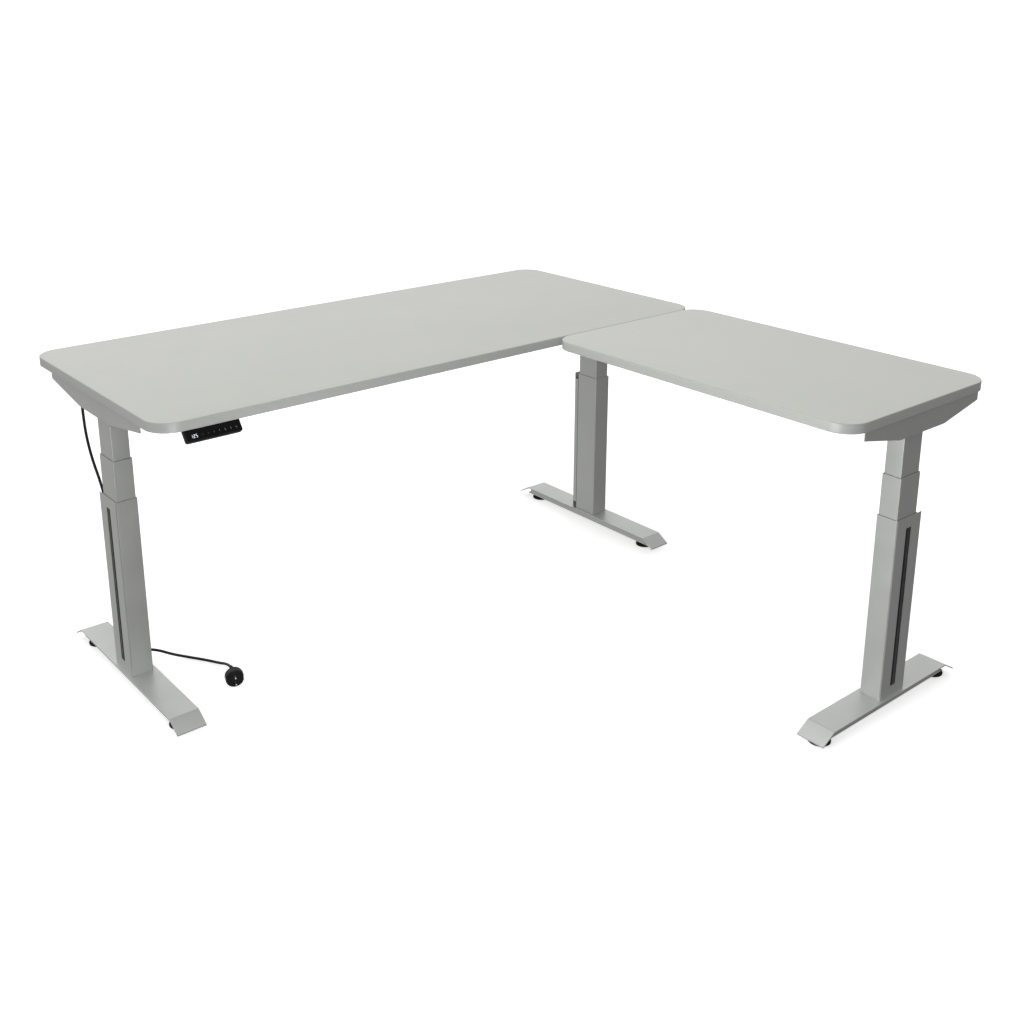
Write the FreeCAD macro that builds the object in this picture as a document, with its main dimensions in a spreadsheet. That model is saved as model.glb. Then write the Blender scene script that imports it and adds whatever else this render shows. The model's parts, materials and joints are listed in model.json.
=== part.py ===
"""Height adjustable corner standing desk: two worktops on three telescopic legs.

Frame: the origin is on the floor under the middle of the plan, +Z up. The main worktop lies along
the rear (+Y), and the return worktop runs forward (-Y) from its right end (+X).
All lengths are in millimetres. The desk is modelled at 850 mm, part way through its travel.
"""
import FreeCAD
import Part
import math
import os
import re
import Sketcher

from FreeCAD import Placement, Rotation, Vector

# ---------------------------------------------------------------- driving dimensions
SIZES = {
    # worktops
    "rest_height": 850, "main_length": 1800, "main_depth": 800, "return_length": 1000,
    "return_depth": 600, "board": 25, "corner_rad": 65, "banding": 2, "seam": 0.6,
    # legs, in the frame of one leg: x across the foot, y along it, z up from the floor
    "left_inset": 54, "corner_inset": 47, "return_inset": 50, "return_shift": 6.5,
    "outer_w": 59, "outer_d": 90, "mid_w": 54, "mid_d": 84, "inner_w": 48, "inner_d": 78,
    "outer_wall": 1.5, "tube_wall": 2, "outer_rad": 3.5, "mid_rad": 3, "inner_rad": 2.5,
    "outer_top": 543, "mid_low": 170, "mid_top": 653, "inner_low": 296, "inner_top": 782,
    "glide_len": 40, "glide_thk": 0.7,
    # cable duct on the rear of each outer tube
    "duct_depth": 15.5, "duct_sheet": 1, "duct_rad": 3, "slot_w": 22, "slot_low": 70,
    "slot_top": 513, "strip_thk": 0.7, "strip_gap": 0.3, "notch_high": 21, "entry_high": 45,
    "entry_mid": 20, "entry_w": 15,
    # feet
    "foot_w": 80, "foot_top": 42, "foot_sheet": 3.5, "foot_flat": 590, "return_foot_flat": 502,
    "flap_long": 42, "flap_drop": 25, "channel_w": 52, "channel_low": 14, "channel_wall": 2.5,
    "channel_end": 1, "channel_floor": 12, "pad_inset": 27, "return_pad_inset": -3,
    "pad_rad": 29, "pad_bevel": 7, "pad_thk": 9, "stud_rad": 4.95, "stud_bore": 5, "stud_top": 33,
    "nut_rad": 8, "nut_thk": 6,
    # drive inside each leg
    "shaft_rad": 4.4, "shaft_low": 290, "screw_rad": 8, "screw_bore": 5.2, "screw_top": 420,
    "drive_low": 176, "drive_top": 550, "drive_rad": 12, "drive_bore": 8.5, "nut_fit": 0.05,
    "nut_long": 30, "hub_long": 17, "hub_bore": 4.7, "collar_rad": 14, "collar_thk": 4,
    "bearing_thk": 14, "bearing_bore": 12.3, "push_rad": 15, "push_bore": 12.5, "push_low": 300,
    # support arms and cross rails
    "arm_w": 90, "arm_long": 573, "return_arm_long": 487, "arm_sheet": 2.5, "arm_end": 23,
    "arm_deep": 54, "arm_flat": 190, "lead_window": 12,
    "gear_w": 76, "gear_d": 84, "gear_rad": 6, "motor_rad": 21, "motor_long": 108,
    "rail_w": 20, "rail_high": 30, "rail_drop": 11, "rail_wall": 2, "rail_offset": 60,
    "bracket_thk": 3, "bracket_long": 80, "bracket_side": 30,
    # control box and handset
    "box_long": 230, "box_wide": 100, "box_high": 40, "box_x": -180, "box_y": 670, "box_rad": 6,
    "handset_x": -762.7, "handset_long": 142.6, "handset_out": 18, "handset_high": 24,
    "handset_thk": 13, "handset_set": 1.9, "handset_corner": 6, "handset_rad": 2,
    "panel_side": 3, "panel_foot": 2.5, "panel_wide": 26, "panel_thk": 1.5,
    "key_wide": 11.6, "key_long": 13, "key_deep": 3, "key_proud": 0.3, "key_gap": 0.3,
    "key_pitch": 14.2, "key_first": -791, "key_mid": 12.5, "key_well": 6, "key_border": 2,
    # leads
    "lead_rad": 3.75, "wire_drop": 6, "lead_drop": 20, "lead_x": -860,
    "lead_y": 668, "lead_bend": 37, "clip_thk": 2, "clip_long": 12, "trunk_w": 16, "trunk_high": 8,
    "trunk_wall": 1.2,
    # mains plug with two round pins
    "plug_rad": 25, "plug_x": -655.7, "plug_y": 300, "plug_turn": 18, "plug_front": 22,
    "plug_back": 16, "plug_neck": 9, "pin_rad": 2.4, "pin_long": 19, "pin_gap": 19,
    "pin_root": 8, "pin_neck": 2, "relief_long": 28, "relief_end": 4.9,
}
LEGS = {
    # name: (x, y) of the leg's axis as formulas, turn about Z in degrees, side of its outer face,
    # foot length and arm length
    "left": ("left_x", "leg_y", 0, -1, "foot_flat", "arm_long"),
    "corner": ("corner_x", "leg_y", 0, 1, "foot_flat", "arm_long"),
    "return": ("return_x", "return_y", -90, 1, "return_foot_flat", "return_arm_long"),
}
DERIVED = {
    "plan_depth": "main_depth + return_length",
    "main_front": "plan_depth / 2 - main_depth",
    "leg_y": "plan_depth / 2 - main_depth / 2",
    "left_x": "left_inset - main_length / 2",
    "corner_x": "main_length / 2 - corner_inset",
    "return_x": "main_length / 2 - return_depth / 2 + return_shift",
    "return_y": "return_inset - plan_depth / 2",
    "board_low": "rest_height - board",
    "arm_top": "board_low - arm_sheet",
    "rail_top": "board_low - rail_drop",
    "wire_z": "board_low - wire_drop",
    "duct_back": "outer_d / 2 + duct_depth",
    "pad_at": "foot_flat / 2 - pad_inset",
    "return_pad_at": "return_foot_flat / 2 - return_pad_inset",
    "box_front": "box_y - box_wide / 2",
    "handset_face": "sqrt(handset_out ^ 2 + handset_high ^ 2)",
    "handset_low": "board_low - handset_high",
    "handset_front": "main_front + handset_set",
    "handset_foot": "handset_front - handset_out",
    "handset_back": "handset_front + handset_thk * handset_face / handset_high",
}
KEY_COUNT = 7

doc = FreeCAD.newDocument("standing_desk")
sheet = doc.addObject("Spreadsheet::Sheet", "Sheet")
NODES = []


def formula(text):
    """The same formula with each alias pointed at the sheet."""
    known = set(SIZES) | set(DERIVED)
    return re.sub(r"[a-z_]+", lambda word: "Sheet." + word.group() if word.group() in known
                  else word.group(), text)


def fill_sheet():
    row = 1
    for alias, value in SIZES.items():
        sheet.set(f"A{row}", alias)
        sheet.set(f"B{row}", str(value))
        sheet.setAlias(f"B{row}", alias)
        row += 1
    doc.recompute()
    for alias, text in DERIVED.items():
        sheet.set(f"A{row}", alias)
        sheet.set(f"B{row}", "=" + text)
        sheet.setAlias(f"B{row}", alias)
        row += 1
        doc.recompute()


fill_sheet()
meter = doc.addObject("Part::Vertex", "meter")


def size(text):
    """The value of a formula in the sheet's aliases, worked out by the document itself."""
    meter.setExpression("X", formula(text))
    doc.recompute([meter])
    return meter.X.Value


def bind(obj, **formulas):
    for name, text in formulas.items():
        obj.setExpression(name, formula(text))
    return obj


def move(obj, x="0", y="0", z="0"):
    for axis, text in zip("xyz", (x, y, z)):
        obj.setExpression("Placement.Base." + axis, formula(text))
    return obj


def swap(low, high, side):
    """A span across the foot, mirrored for a leg whose outer face is on the other side."""
    return (low, high) if side > 0 else (f"-({high})", f"-({low})")


# ---------------------------------------------------------------- building blocks
def block(name, x, y, z):
    """A box between three pairs of formulas."""
    box = doc.addObject("Part::Box", name)
    bind(box, Length=f"({x[1]}) - ({x[0]})", Width=f"({y[1]}) - ({y[0]})",
         Height=f"({z[1]}) - ({z[0]})")
    return move(box, x[0], y[0], z[0])


def rod(name, radius, low, high, x="0", y="0"):
    cylinder = doc.addObject("Part::Cylinder", name)
    bind(cylinder, Radius=radius, Height=f"({high}) - ({low})")
    return move(cylinder, x, y, low)


def cut(name, base, *tools):
    tool = tools[0] if len(tools) == 1 else fuse(name + "_tools", *tools)
    result = doc.addObject("Part::Cut", name)
    result.Base = base
    result.Tool = tool
    result.Refine = True
    return result


def fuse(name, *parts):
    result = doc.addObject("Part::MultiFuse", name)
    result.Shapes = list(parts)
    result.Refine = True
    return result


def bound_sketch(body, role, corners):
    """A closed outline on one of the body's planes, each corner bound to two formulas."""
    plane = next(item for item in body.Origin.OriginFeatures if item.Role == role)
    sketch = body.newObject("Sketcher::SketchObject", body.Name + "_outline")
    sketch.AttachmentSupport = [(plane, "")]
    sketch.MapMode = "FlatFace"
    points = [Vector(size(x), size(y), 0) for x, y in corners]
    count = len(points)
    for index in range(count):
        sketch.addGeometry(Part.LineSegment(points[index], points[(index + 1) % count]), False)
    for index in range(count):
        sketch.addConstraint(Sketcher.Constraint("Coincident", index, 2, (index + 1) % count, 1))
    for index, corner in enumerate(corners):
        for kind, value, text in zip(("DistanceX", "DistanceY"), points[index], corner):
            number = sketch.addConstraint(Sketcher.Constraint(kind, -1, 1, index, 1, value))
            sketch.renameConstraint(number, f"{kind}_{index}")
            sketch.setExpression(f"Constraints.{kind}_{index}", formula(text))
    return sketch


def prism(name, role, corners, length, both_ways=False):
    """A padded outline. On YZ_Plane the outline's x is Y, its y is Z and it is padded along X."""
    body = doc.addObject("PartDesign::Body", name)
    sketch = bound_sketch(body, role, corners)
    pad = body.newObject("PartDesign::Pad", name + "_pad")
    pad.Profile = sketch
    pad.Midplane = both_ways
    bind(pad, Length=length)
    doc.recompute()
    return body


def round_edges(body, radius, wanted):
    """Rounds the edges of the body's last feature that the given test accepts."""
    last = body.Tip
    names = [f"Edge{number}" for number, edge in enumerate(last.Shape.Edges, 1) if wanted(edge)]
    fillet = body.newObject("PartDesign::Fillet", f"{body.Name}_round{len(body.Group)}")
    fillet.Base = (last, names)
    bind(fillet, Radius=radius)
    doc.recompute()
    return body


def upright(edge):
    run = edge.Vertexes[-1].Point - edge.Vertexes[0].Point
    return run.Length > 0 and abs(run.z) > 0.99 * run.Length


def rounded_block(name, x, y, z, radius):
    """A block with its upright edges rounded."""
    corners = [(x[0], y[0]), (x[1], y[0]), (x[1], y[1]), (x[0], y[1])]
    body = prism(name, "XY_Plane", corners, f"({z[1]}) - ({z[0]})")
    round_edges(body, radius, upright)
    return move(body, z=z[0])


def rounded_tube(name, wide, deep, wall, low, high, radius):
    """A tube of rounded rectangular section about the leg's axis."""
    outside = rounded_block(name + "_outside", (f"-{wide} / 2", f"{wide} / 2"),
                            (f"-{deep} / 2", f"{deep} / 2"), (low, high), radius)
    inside = rounded_block(name + "_inside", (f"{wall} - {wide} / 2", f"{wide} / 2 - {wall}"),
                           (f"{wall} - {deep} / 2", f"{deep} / 2 - {wall}"),
                           (f"{low} - 5", f"{high} + 5"), f"{radius} - {wall}")
    return cut(name, outside, inside)


def ring(name, outer, inner, low, high, x="0", y="0"):
    """A round tube or disc with a bore."""
    return cut(name, rod(name + "_outside", outer, low, high, x, y),
               rod(name + "_bore", inner, f"{low} - 1", f"{high} + 1", x, y))


def node(name, obj):
    """Names the finished sub-part, which becomes the file parts/NAME.step."""
    obj.Label = name
    NODES.append((name, obj))
    return obj


def group(name, parts):
    compound = doc.addObject("Part::Compound", name)
    compound.Links = parts
    return node(name, compound)


def stand(obj, leg):
    """Moves a finished piece from the leg's own frame to the leg's place."""
    x, y, turn = LEGS[leg][:3]
    doc.recompute([obj])
    old = obj.Placement.Base
    spin = Rotation(Vector(0, 0, 1), turn)
    lifted = spin.multVec(old)
    obj.Placement = Placement(Vector(0, 0, 0), spin)
    for axis, text, offset in zip("xyz", (x, y, "0"), lifted):
        obj.setExpression("Placement.Base." + axis, formula(text) + f" + ({offset:.6f})")
    return obj


# ---------------------------------------------------------------- worktops
def worktop(name, x, y):
    """A rounded board core inside its 2 mm edge banding."""
    z = ("board_low", "rest_height")
    inner_x = (f"({x[0]}) + banding", f"({x[1]}) - banding")
    inner_y = (f"({y[0]}) + banding", f"({y[1]}) - banding")
    node(name, rounded_block(name, inner_x, inner_y, z, "corner_rad - banding"))
    outline = rounded_block(name + "_outline", x, y, z, "corner_rad")
    core = rounded_block(name + "_core", inner_x, inner_y, ("board_low - 5", "rest_height + 5"),
                         "corner_rad - banding")
    return cut(name + "_banding", outline, core)


def worktops():
    half = "main_length / 2"
    bandings = [
        worktop("main_board", (f"-{half}", half), ("main_front", "plan_depth / 2")),
        worktop("return_board", (f"{half} - return_depth", half),
                ("-plan_depth / 2", "main_front - seam")),
    ]
    group("edge_banding", bandings)


# ---------------------------------------------------------------- feet
def foot(leg):
    """The folded foot plate, with a sloping flap at each end."""
    flat = LEGS[leg][4]
    end = f"({flat} / 2 + flap_long)"
    low = "(foot_top - flap_drop)"
    corners = [
        (f"-{end}", low), (f"-{end}", f"{low} - foot_sheet"),
        (f"-{flat} / 2", "foot_top - foot_sheet"), (f"{flat} / 2", "foot_top - foot_sheet"),
        (end, f"{low} - foot_sheet"), (end, low), (f"{flat} / 2", "foot_top"),
        (f"-{flat} / 2", "foot_top"),
    ]
    plate = prism(f"foot_plate_{leg}", "YZ_Plane", corners, "foot_w", both_ways=True)
    return node(plate.Name, stand(plate, leg))


def pad_at(leg):
    return "return_pad_at" if leg == "return" else "pad_at"


def foot_channel(leg):
    """The open channel under the plate. Its floor runs on past its walls and carries two nuts."""
    name = f"foot_channel_{leg}"
    half = f"({LEGS[leg][4]} / 2 - channel_end)"
    low, high = "channel_low", "foot_top - foot_sheet"
    outside = block(name + "_outside", ("-channel_w / 2", "channel_w / 2"), (f"-{half}", half),
                    (low, high))
    hollow = block(name + "_hollow", ("channel_wall - channel_w / 2", "channel_w / 2 - channel_wall"),
                   (f"channel_wall - {half}", f"{half} - channel_wall"),
                   (f"{low} + channel_wall", f"{high} + 1"))
    reach = f"({half} + channel_floor)"
    floor = block(name + "_floor", ("-channel_w / 2", "channel_w / 2"), (f"-{reach}", reach),
                  (low, f"{low} + channel_wall"))
    nuts = [rod(f"{name}_nut{index}", "nut_rad", f"{low} + channel_wall",
                f"{low} + channel_wall + nut_thk", y=f"{sign}{pad_at(leg)}")
            for index, sign in enumerate(("-", ""))]
    bores = [rod(f"{name}_bore{index}", "stud_bore", f"{low} - 1", high, y=f"{sign}{pad_at(leg)}")
             for index, sign in enumerate(("-", ""))]
    channel = fuse(name + "_nuts", cut(name + "_shell", outside, hollow), floor, *nuts)
    return stand(cut(name, channel, *bores), leg)


def leveller(name, leg, sign):
    """A levelling foot: a bevelled disc on a threaded stud."""
    y = f"{sign}{pad_at(leg)}"
    cone = doc.addObject("Part::Cone", name + "_cone")
    bind(cone, Radius1="pad_rad", Radius2="pad_rad - pad_bevel", Height="pad_thk / 2")
    move(cone, y=y, z="pad_thk / 2")
    parts = (rod(name + "_disc", "pad_rad", "0", "pad_thk / 2", y=y), cone,
             rod(name + "_stud", "stud_rad", "pad_thk - 1", "stud_top", y=y))
    return node(name, stand(fuse(name, *parts), leg))


# ---------------------------------------------------------------- telescopic tubes and duct
def duct_cover(leg):
    """The folded cover: one skin over the tube's outer face that turns round the duct."""
    name = f"duct_cover_{leg}"
    side = LEGS[leg][3]
    skin = "outer_w / 2 + duct_sheet"
    face, edge = "outer_w / 2", "-outer_w / 2"
    inside = f"{edge} + duct_sheet"
    outline = [
        (face, "1 - outer_d / 2"), (skin, "1 - outer_d / 2"), (skin, "duct_back"),
        (edge, "duct_back"), (edge, "outer_d / 2"), (inside, "outer_d / 2"),
        (inside, "duct_back - duct_sheet"), (face, "duct_back - duct_sheet"),
    ]
    corners = [(f"{side} * ({x})", y) for x, y in outline]
    shell = prism(name + "_shell", "XY_Plane", corners, "outer_top - foot_top")
    back = size("duct_back")
    far = size(skin)

    def fold(edge_line):
        at = edge_line.Vertexes[0].Point
        return upright(edge_line) and abs(at.y - back) < 0.01 and abs(abs(at.x) - far) < 2
    round_edges(shell, "duct_rad - duct_sheet", fold)
    move(shell, z="foot_top")
    middle = "(duct_back - outer_d / 2) / 2"
    slot = block(name + "_slot", swap(f"{face} - 1", f"{skin} + 1", side),
                 (f"{middle} - slot_w / 2", f"{middle} + slot_w / 2"), ("slot_low", "slot_top"))
    entry = block(name + "_entry", swap("entry_mid - entry_w / 2", "entry_mid + entry_w / 2", side),
                  ("duct_back - duct_sheet - 1", "duct_back + 1"),
                  ("outer_top - entry_high", "outer_top + 1"))
    notches = [block(f"{name}_notch{index}", swap(f"{edge} - 1", f"{inside} + 0.5", side),
                     ("outer_d / 2 - 1", "duct_back - duct_sheet"), span)
               for index, span in enumerate((("foot_top - 1", "foot_top + notch_high"),
                                             ("outer_top - notch_high", "outer_top + 1")))]
    return node(name, stand(cut(name, shell, slot, entry, *notches), leg))


def slot_strip(leg):
    """The black plastic strip that fills the slot of the duct cover."""
    side = LEGS[leg][3]
    middle = "(duct_back - outer_d / 2) / 2"
    strip = block(f"slot_strip_{leg}", swap("outer_w / 2", "outer_w / 2 + strip_thk", side),
                  (f"{middle} - slot_w / 2 + strip_gap", f"{middle} + slot_w / 2 - strip_gap"),
                  ("slot_low + strip_gap", "slot_top - strip_gap"))
    return stand(strip, leg)


def glides(name, leg, wide, deep, low, high, radius):
    """A thin plastic sleeve in the gap between two tubes, given by its outer section."""
    return stand(rounded_tube(f"{name}_{leg}", wide, deep, "glide_thk", low, high, radius), leg)


def leg_tubes(leg):
    node(f"outer_tube_{leg}", stand(
        rounded_tube(f"outer_tube_{leg}", "outer_w", "outer_d", "outer_wall", "foot_top",
                     "outer_top", "outer_rad"), leg))
    node(f"mid_tube_{leg}", stand(
        rounded_tube(f"mid_tube_{leg}", "mid_w", "mid_d", "tube_wall", "mid_low", "mid_top",
                     "mid_rad"), leg))
    node(f"inner_tube_{leg}", stand(
        rounded_tube(f"inner_tube_{leg}", "inner_w", "inner_d", "tube_wall", "inner_low",
                     "inner_top", "inner_rad"), leg))


# ---------------------------------------------------------------- drive inside the legs
def drive_shaft(leg):
    """The hexagonal shaft that the gearbox turns."""
    shaft = doc.addObject("Part::Prism", f"drive_shaft_{leg}")
    shaft.Polygon = 6
    bind(shaft, Circumradius="shaft_rad", Height="inner_top - shaft_low")
    move(shaft, z="shaft_low")
    return node(shaft.Name, stand(shaft, leg))


def base_screw(leg):
    """The fixed hollow screw that stands on the foot."""
    return stand(ring(f"base_screw_{leg}", "screw_rad", "screw_bore", "foot_top", "screw_top"), leg)


def drive_tube(leg):
    """The middle stage's threaded tube: a nut at its foot, a hub at its head and a collar."""
    name = f"drive_tube_{leg}"
    body = fuse(name + "_body", rod(name + "_tube", "drive_rad", "drive_low", "drive_top"),
                rod(name + "_collar", "collar_rad", "mid_low + bearing_thk",
                    "mid_low + bearing_thk + collar_thk"))
    bores = (rod(name + "_nut", "screw_rad + nut_fit", "drive_low - 1", "drive_low + nut_long"),
             rod(name + "_bore", "drive_bore", "drive_low + nut_long", "drive_top - hub_long"),
             rod(name + "_hub", "hub_bore", "drive_top - hub_long", "drive_top + 1"))
    return stand(cut(name, body, *bores), leg)


def stage_bearing(leg):
    """The plate that closes the foot of the middle tube and carries the drive tube."""
    name = f"stage_bearing_{leg}"
    plate = rounded_block(name + "_plate", ("tube_wall - mid_w / 2", "mid_w / 2 - tube_wall"),
                          ("tube_wall - mid_d / 2", "mid_d / 2 - tube_wall"),
                          ("mid_low", "mid_low + bearing_thk"), "mid_rad - tube_wall")
    bore = rod(name + "_bore", "bearing_bore", "mid_low - 1", "mid_low + bearing_thk + 1")
    return stand(cut(name, plate, bore), leg)


def push_tube(leg):
    """The tube under the gearbox whose foot is the nut on the drive tube."""
    name = f"push_tube_{leg}"
    body = rod(name + "_body", "push_rad", "push_low", "inner_top")
    bores = (rod(name + "_nut", "drive_rad + nut_fit", "push_low - 1", "push_low + nut_long"),
             rod(name + "_bore", "push_bore", "push_low + nut_long", "inner_top + 1"))
    return stand(cut(name, body, *bores), leg)


def drive_unit(leg):
    """A gearbox over the leg with its motor lying in the arm behind it."""
    name = f"drive_unit_{leg}"
    gearbox = rounded_block(name + "_gearbox", ("-gear_w / 2", "gear_w / 2"),
                            ("-gear_d / 2", "gear_d / 2"), ("inner_top", "arm_top"), "gear_rad")
    motor = doc.addObject("Part::Cylinder", name + "_motor")
    bind(motor, Radius="motor_rad", Height="motor_long + 2")
    motor.Placement = Placement(Vector(0, 0, 0), Rotation(Vector(1, 0, 0), -90))
    move(motor, y="gear_d / 2 - 2", z="(arm_top + inner_top) / 2 - 1")
    unit = fuse(name, gearbox, motor)
    return stand(unit, leg)


# ---------------------------------------------------------------- arms and rails
def arm(leg):
    """A folded support arm: a channel open downwards and at its two tapered ends."""
    name = f"arm_{leg}"
    side, half = LEGS[leg][3], f"{LEGS[leg][5]} / 2"
    corners = [
        (f"-{half}", "board_low"), (f"-{half}", "board_low - arm_end"),
        ("-arm_flat / 2", "board_low - arm_deep"), ("arm_flat / 2", "board_low - arm_deep"),
        (half, "board_low - arm_end"), (half, "board_low"),
    ]
    solid = prism(name + "_solid", "YZ_Plane", corners, "arm_w", both_ways=True)
    hollow = block(name + "_hollow", ("arm_sheet - arm_w / 2", "arm_w / 2 - arm_sheet"),
                   (f"-{half} - 1", f"{half} + 1"), ("board_low - arm_deep - 1", "arm_top"))
    inner = swap("-arm_w / 2 - 1", "arm_sheet + 1 - arm_w / 2", side)
    window = block(name + "_window", inner, ("-lead_window", "lead_window"),
                   ("wire_z - lead_window / 2", "arm_top"))
    mains = block(name + "_mains", inner, ("lead_y - leg_y - lead_window", "lead_y - leg_y + lead_window"),
                  ("board_low - lead_drop - lead_window / 2", "arm_top"))
    tools = (hollow, window, mains) if leg == "left" else (hollow, window)
    return node(name, stand(cut(name, solid, *tools), leg))


def rail(name, x, y):
    """A rectangular tube along X or Y between two pairs of formulas."""
    z = ("rail_top - rail_high", "rail_top")
    outside = block(name + "_outside", x, y, z)
    along_x = size(f"({x[1]}) - ({x[0]})") > size("rail_w")
    trim, grow = "rail_wall", "-5"
    dx, dy = (grow, trim) if along_x else (trim, grow)
    inside = block(name + "_inside", (f"({x[0]}) + {dx}", f"({x[1]}) - ({dx})"),
                   (f"({y[0]}) + {dy}", f"({y[1]}) - ({dy})"),
                   (f"{z[0]} + rail_wall", f"{z[1]} - rail_wall"))
    return cut(name, outside, inside)


def rails():
    arm_faces = ("left_x + arm_w / 2", "corner_x - arm_w / 2")
    front = "(leg_y - rail_offset - rail_w / 2)"
    pieces = []
    for name, sign in (("front", "-"), ("rear", "+")):
        middle = f"leg_y {sign} rail_offset"
        pieces.append(rail(f"main_rail_{name}", arm_faces,
                           (f"{middle} - rail_w / 2", f"{middle} + rail_w / 2")))
    for name, sign in (("left", "-"), ("right", "+")):
        middle = f"return_x {sign} rail_offset"
        pieces.append(rail(f"return_rail_{name}", (f"{middle} - rail_w / 2", f"{middle} + rail_w / 2"),
                           ("return_y + arm_w / 2", front)))
    group("cross_rails", pieces)
    top = "rail_top - rail_high"
    reach = "(rail_offset + bracket_side)"
    node("corner_bracket", block("corner_bracket", (f"return_x - {reach}", f"return_x + {reach}"),
                                 (f"{front} - bracket_long", f"{front} + rail_w"),
                                 (f"{top} - bracket_thk", top)))


# ---------------------------------------------------------------- control box and handset
def control_box():
    node("control_box", rounded_block(
        "control_box", ("box_x - box_long / 2", "box_x + box_long / 2"),
        ("box_y - box_wide / 2", "box_y + box_wide / 2"),
        ("board_low - box_high", "board_low"), "box_rad"))


def carrier(name, piece):
    """Holds a finished piece, so that it can be placed as a whole."""
    compound = doc.addObject("Part::Compound", name)
    compound.Links = [piece]
    return compound


def on_face(obj, x):
    """Places a piece on the sloping face: x along it, y up it, z out of it."""
    slope = math.degrees(math.atan2(size("handset_high"), size("handset_out")))
    obj.Placement = Placement(Vector(0, 0, 0), Rotation(Vector(1, 0, 0), slope))
    return move(obj, x, "handset_foot", "handset_low")


def face_block(name, x, y, z, at="handset_x"):
    """A block drawn in the frame of the sloping face."""
    corners = [(x[0], y[0]), (x[1], y[0]), (x[1], y[1]), (x[0], y[1])]
    body = prism(name, "XY_Plane", corners, f"({z[1]}) - ({z[0]})")
    move(body, z=z[0])
    return on_face(carrier(name + "_slab", body), at)


def handset():
    """The sloping case under the front edge, its glossy panel and its row of push keys."""
    corners = [
        ("handset_front", "board_low"), ("handset_foot", "handset_low"),
        ("handset_foot + handset_thk * handset_high / handset_face",
         "handset_low - handset_thk * handset_out / handset_face"),
        ("handset_back", "board_low"),
    ]
    case = prism("handset_case", "YZ_Plane", corners, "handset_long", both_ways=True)
    through = Vector(0, size("handset_high"), -size("handset_out")).normalize()
    board_low, handset_low = size("board_low"), size("handset_low")

    def runs_through(line):
        run = line.Vertexes[-1].Point - line.Vertexes[0].Point
        return run.Length > 0 and abs(run.dot(through)) > 0.99 * run.Length

    def lower_corner(line):
        return runs_through(line) and line.CenterOfMass.z < handset_low

    def outer_edge(line):
        middle = line.CenterOfMass
        return middle.z < board_low - 1 and not runs_through(line)
    round_edges(case, "handset_corner", lower_corner)
    round_edges(case, "handset_rad", outer_edge)
    move(case, x="handset_x")
    half = "(handset_long / 2 - panel_side)"
    panel_y = ("panel_foot", "panel_foot + panel_wide")
    well = face_block("handset_well", (f"-{half}", half), panel_y, ("-panel_thk", "5"))
    reach = "(key_wide / 2 + key_border)"
    first, last = "key_first - handset_x", f"key_first - handset_x + {KEY_COUNT - 1} * key_pitch"
    keys_well = face_block("handset_keys_well", (f"{first} - {reach}", f"{last} + {reach}"),
                           ("key_mid - key_long / 2 - key_border",
                            "key_mid + key_long / 2 + key_border"),
                           ("-key_well", "1 - panel_thk"))
    node("handset_housing", cut("handset_housing", case, well, keys_well))
    sheet_piece = face_block("display_sheet", (f"-{half}", half), panel_y, ("-panel_thk", "0"))
    openings = [face_block(f"display_hole{index}",
                           (f"-key_wide / 2 - key_gap", f"key_wide / 2 + key_gap"),
                           ("key_mid - key_long / 2 - key_gap", "key_mid + key_long / 2 + key_gap"),
                           ("-panel_thk - 1", "1"), at=f"key_first + {index} * key_pitch")
                for index in range(KEY_COUNT)]
    node("display_panel", cut("display_panel", sheet_piece, *openings))
    for index in range(KEY_COUNT):
        node(f"key_{index + 1}", face_block(
            f"key_{index + 1}", ("-key_wide / 2", "key_wide / 2"),
            ("key_mid - key_long / 2", "key_mid + key_long / 2"), ("-key_deep", "key_proud"),
            at=f"key_first + {index} * key_pitch"))


# ---------------------------------------------------------------- leads
def route_wire(points, radii):
    """Straight runs joined by tangent arcs, one arc radius for each inner point."""
    edges = []
    at = points[0]
    for index in range(1, len(points) - 1):
        before = (points[index] - points[index - 1]).normalize()
        after = (points[index + 1] - points[index]).normalize()
        half_turn = before.getAngle(after) / 2
        reach = radii[index - 1] * math.tan(half_turn)
        start = points[index] - before * reach
        end = points[index] + after * reach
        inward = (after - before).normalize()
        middle = points[index] + inward * (radii[index - 1] * (1 / math.cos(half_turn) - 1))
        if (start - at).Length > 1e-6:
            edges.append(Part.LineSegment(at, start).toShape())
        edges.append(Part.Arc(start, middle, end).toShape())
        at = end
    if (points[-1] - at).Length > 1e-6:
        edges.append(Part.LineSegment(at, points[-1]).toShape())
    return Part.Wire(edges)


def free_radii(points):
    """The largest arc at each inner point that its two runs allow."""
    radii = []
    for index in range(1, len(points) - 1):
        before = points[index] - points[index - 1]
        after = points[index + 1] - points[index]
        shorter = min(before.Length, after.Length)
        radii.append(0.45 * shorter / math.tan(before.getAngle(after) / 2))
    return radii


def lead(name, points, radius, radii=None):
    """A round lead along its route, checked against its section times its length."""
    points = [Vector(*point) for point in points]
    radii = radii or free_radii(points)
    path = route_wire(points, radii)
    start = (points[1] - points[0]).normalize()
    section = Part.Wire([Part.Circle(points[0], start, radius).toShape()])
    tube = path.makePipeShell([section], True, False)
    wanted = math.pi * radius ** 2 * path.Length
    print(f"{name}: length {path.Length:.1f} radii {[round(value) for value in radii]}"
          f" volume ratio {tube.Volume / wanted:.4f}")
    feature = doc.addObject("Part::Feature", name)
    feature.Shape = tube
    return feature


# Route of the mains lead. It hangs from its clip in the left arm to the top of the duct.
HANGING_ROUTE = [
    (-860, 668, 768), (-860, 668, 715), (-861, 655, 658), (-863, 623, 608),
    (-865, 582, 569), (-866, 552, 527), (-866, 552, 480),
]
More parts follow.
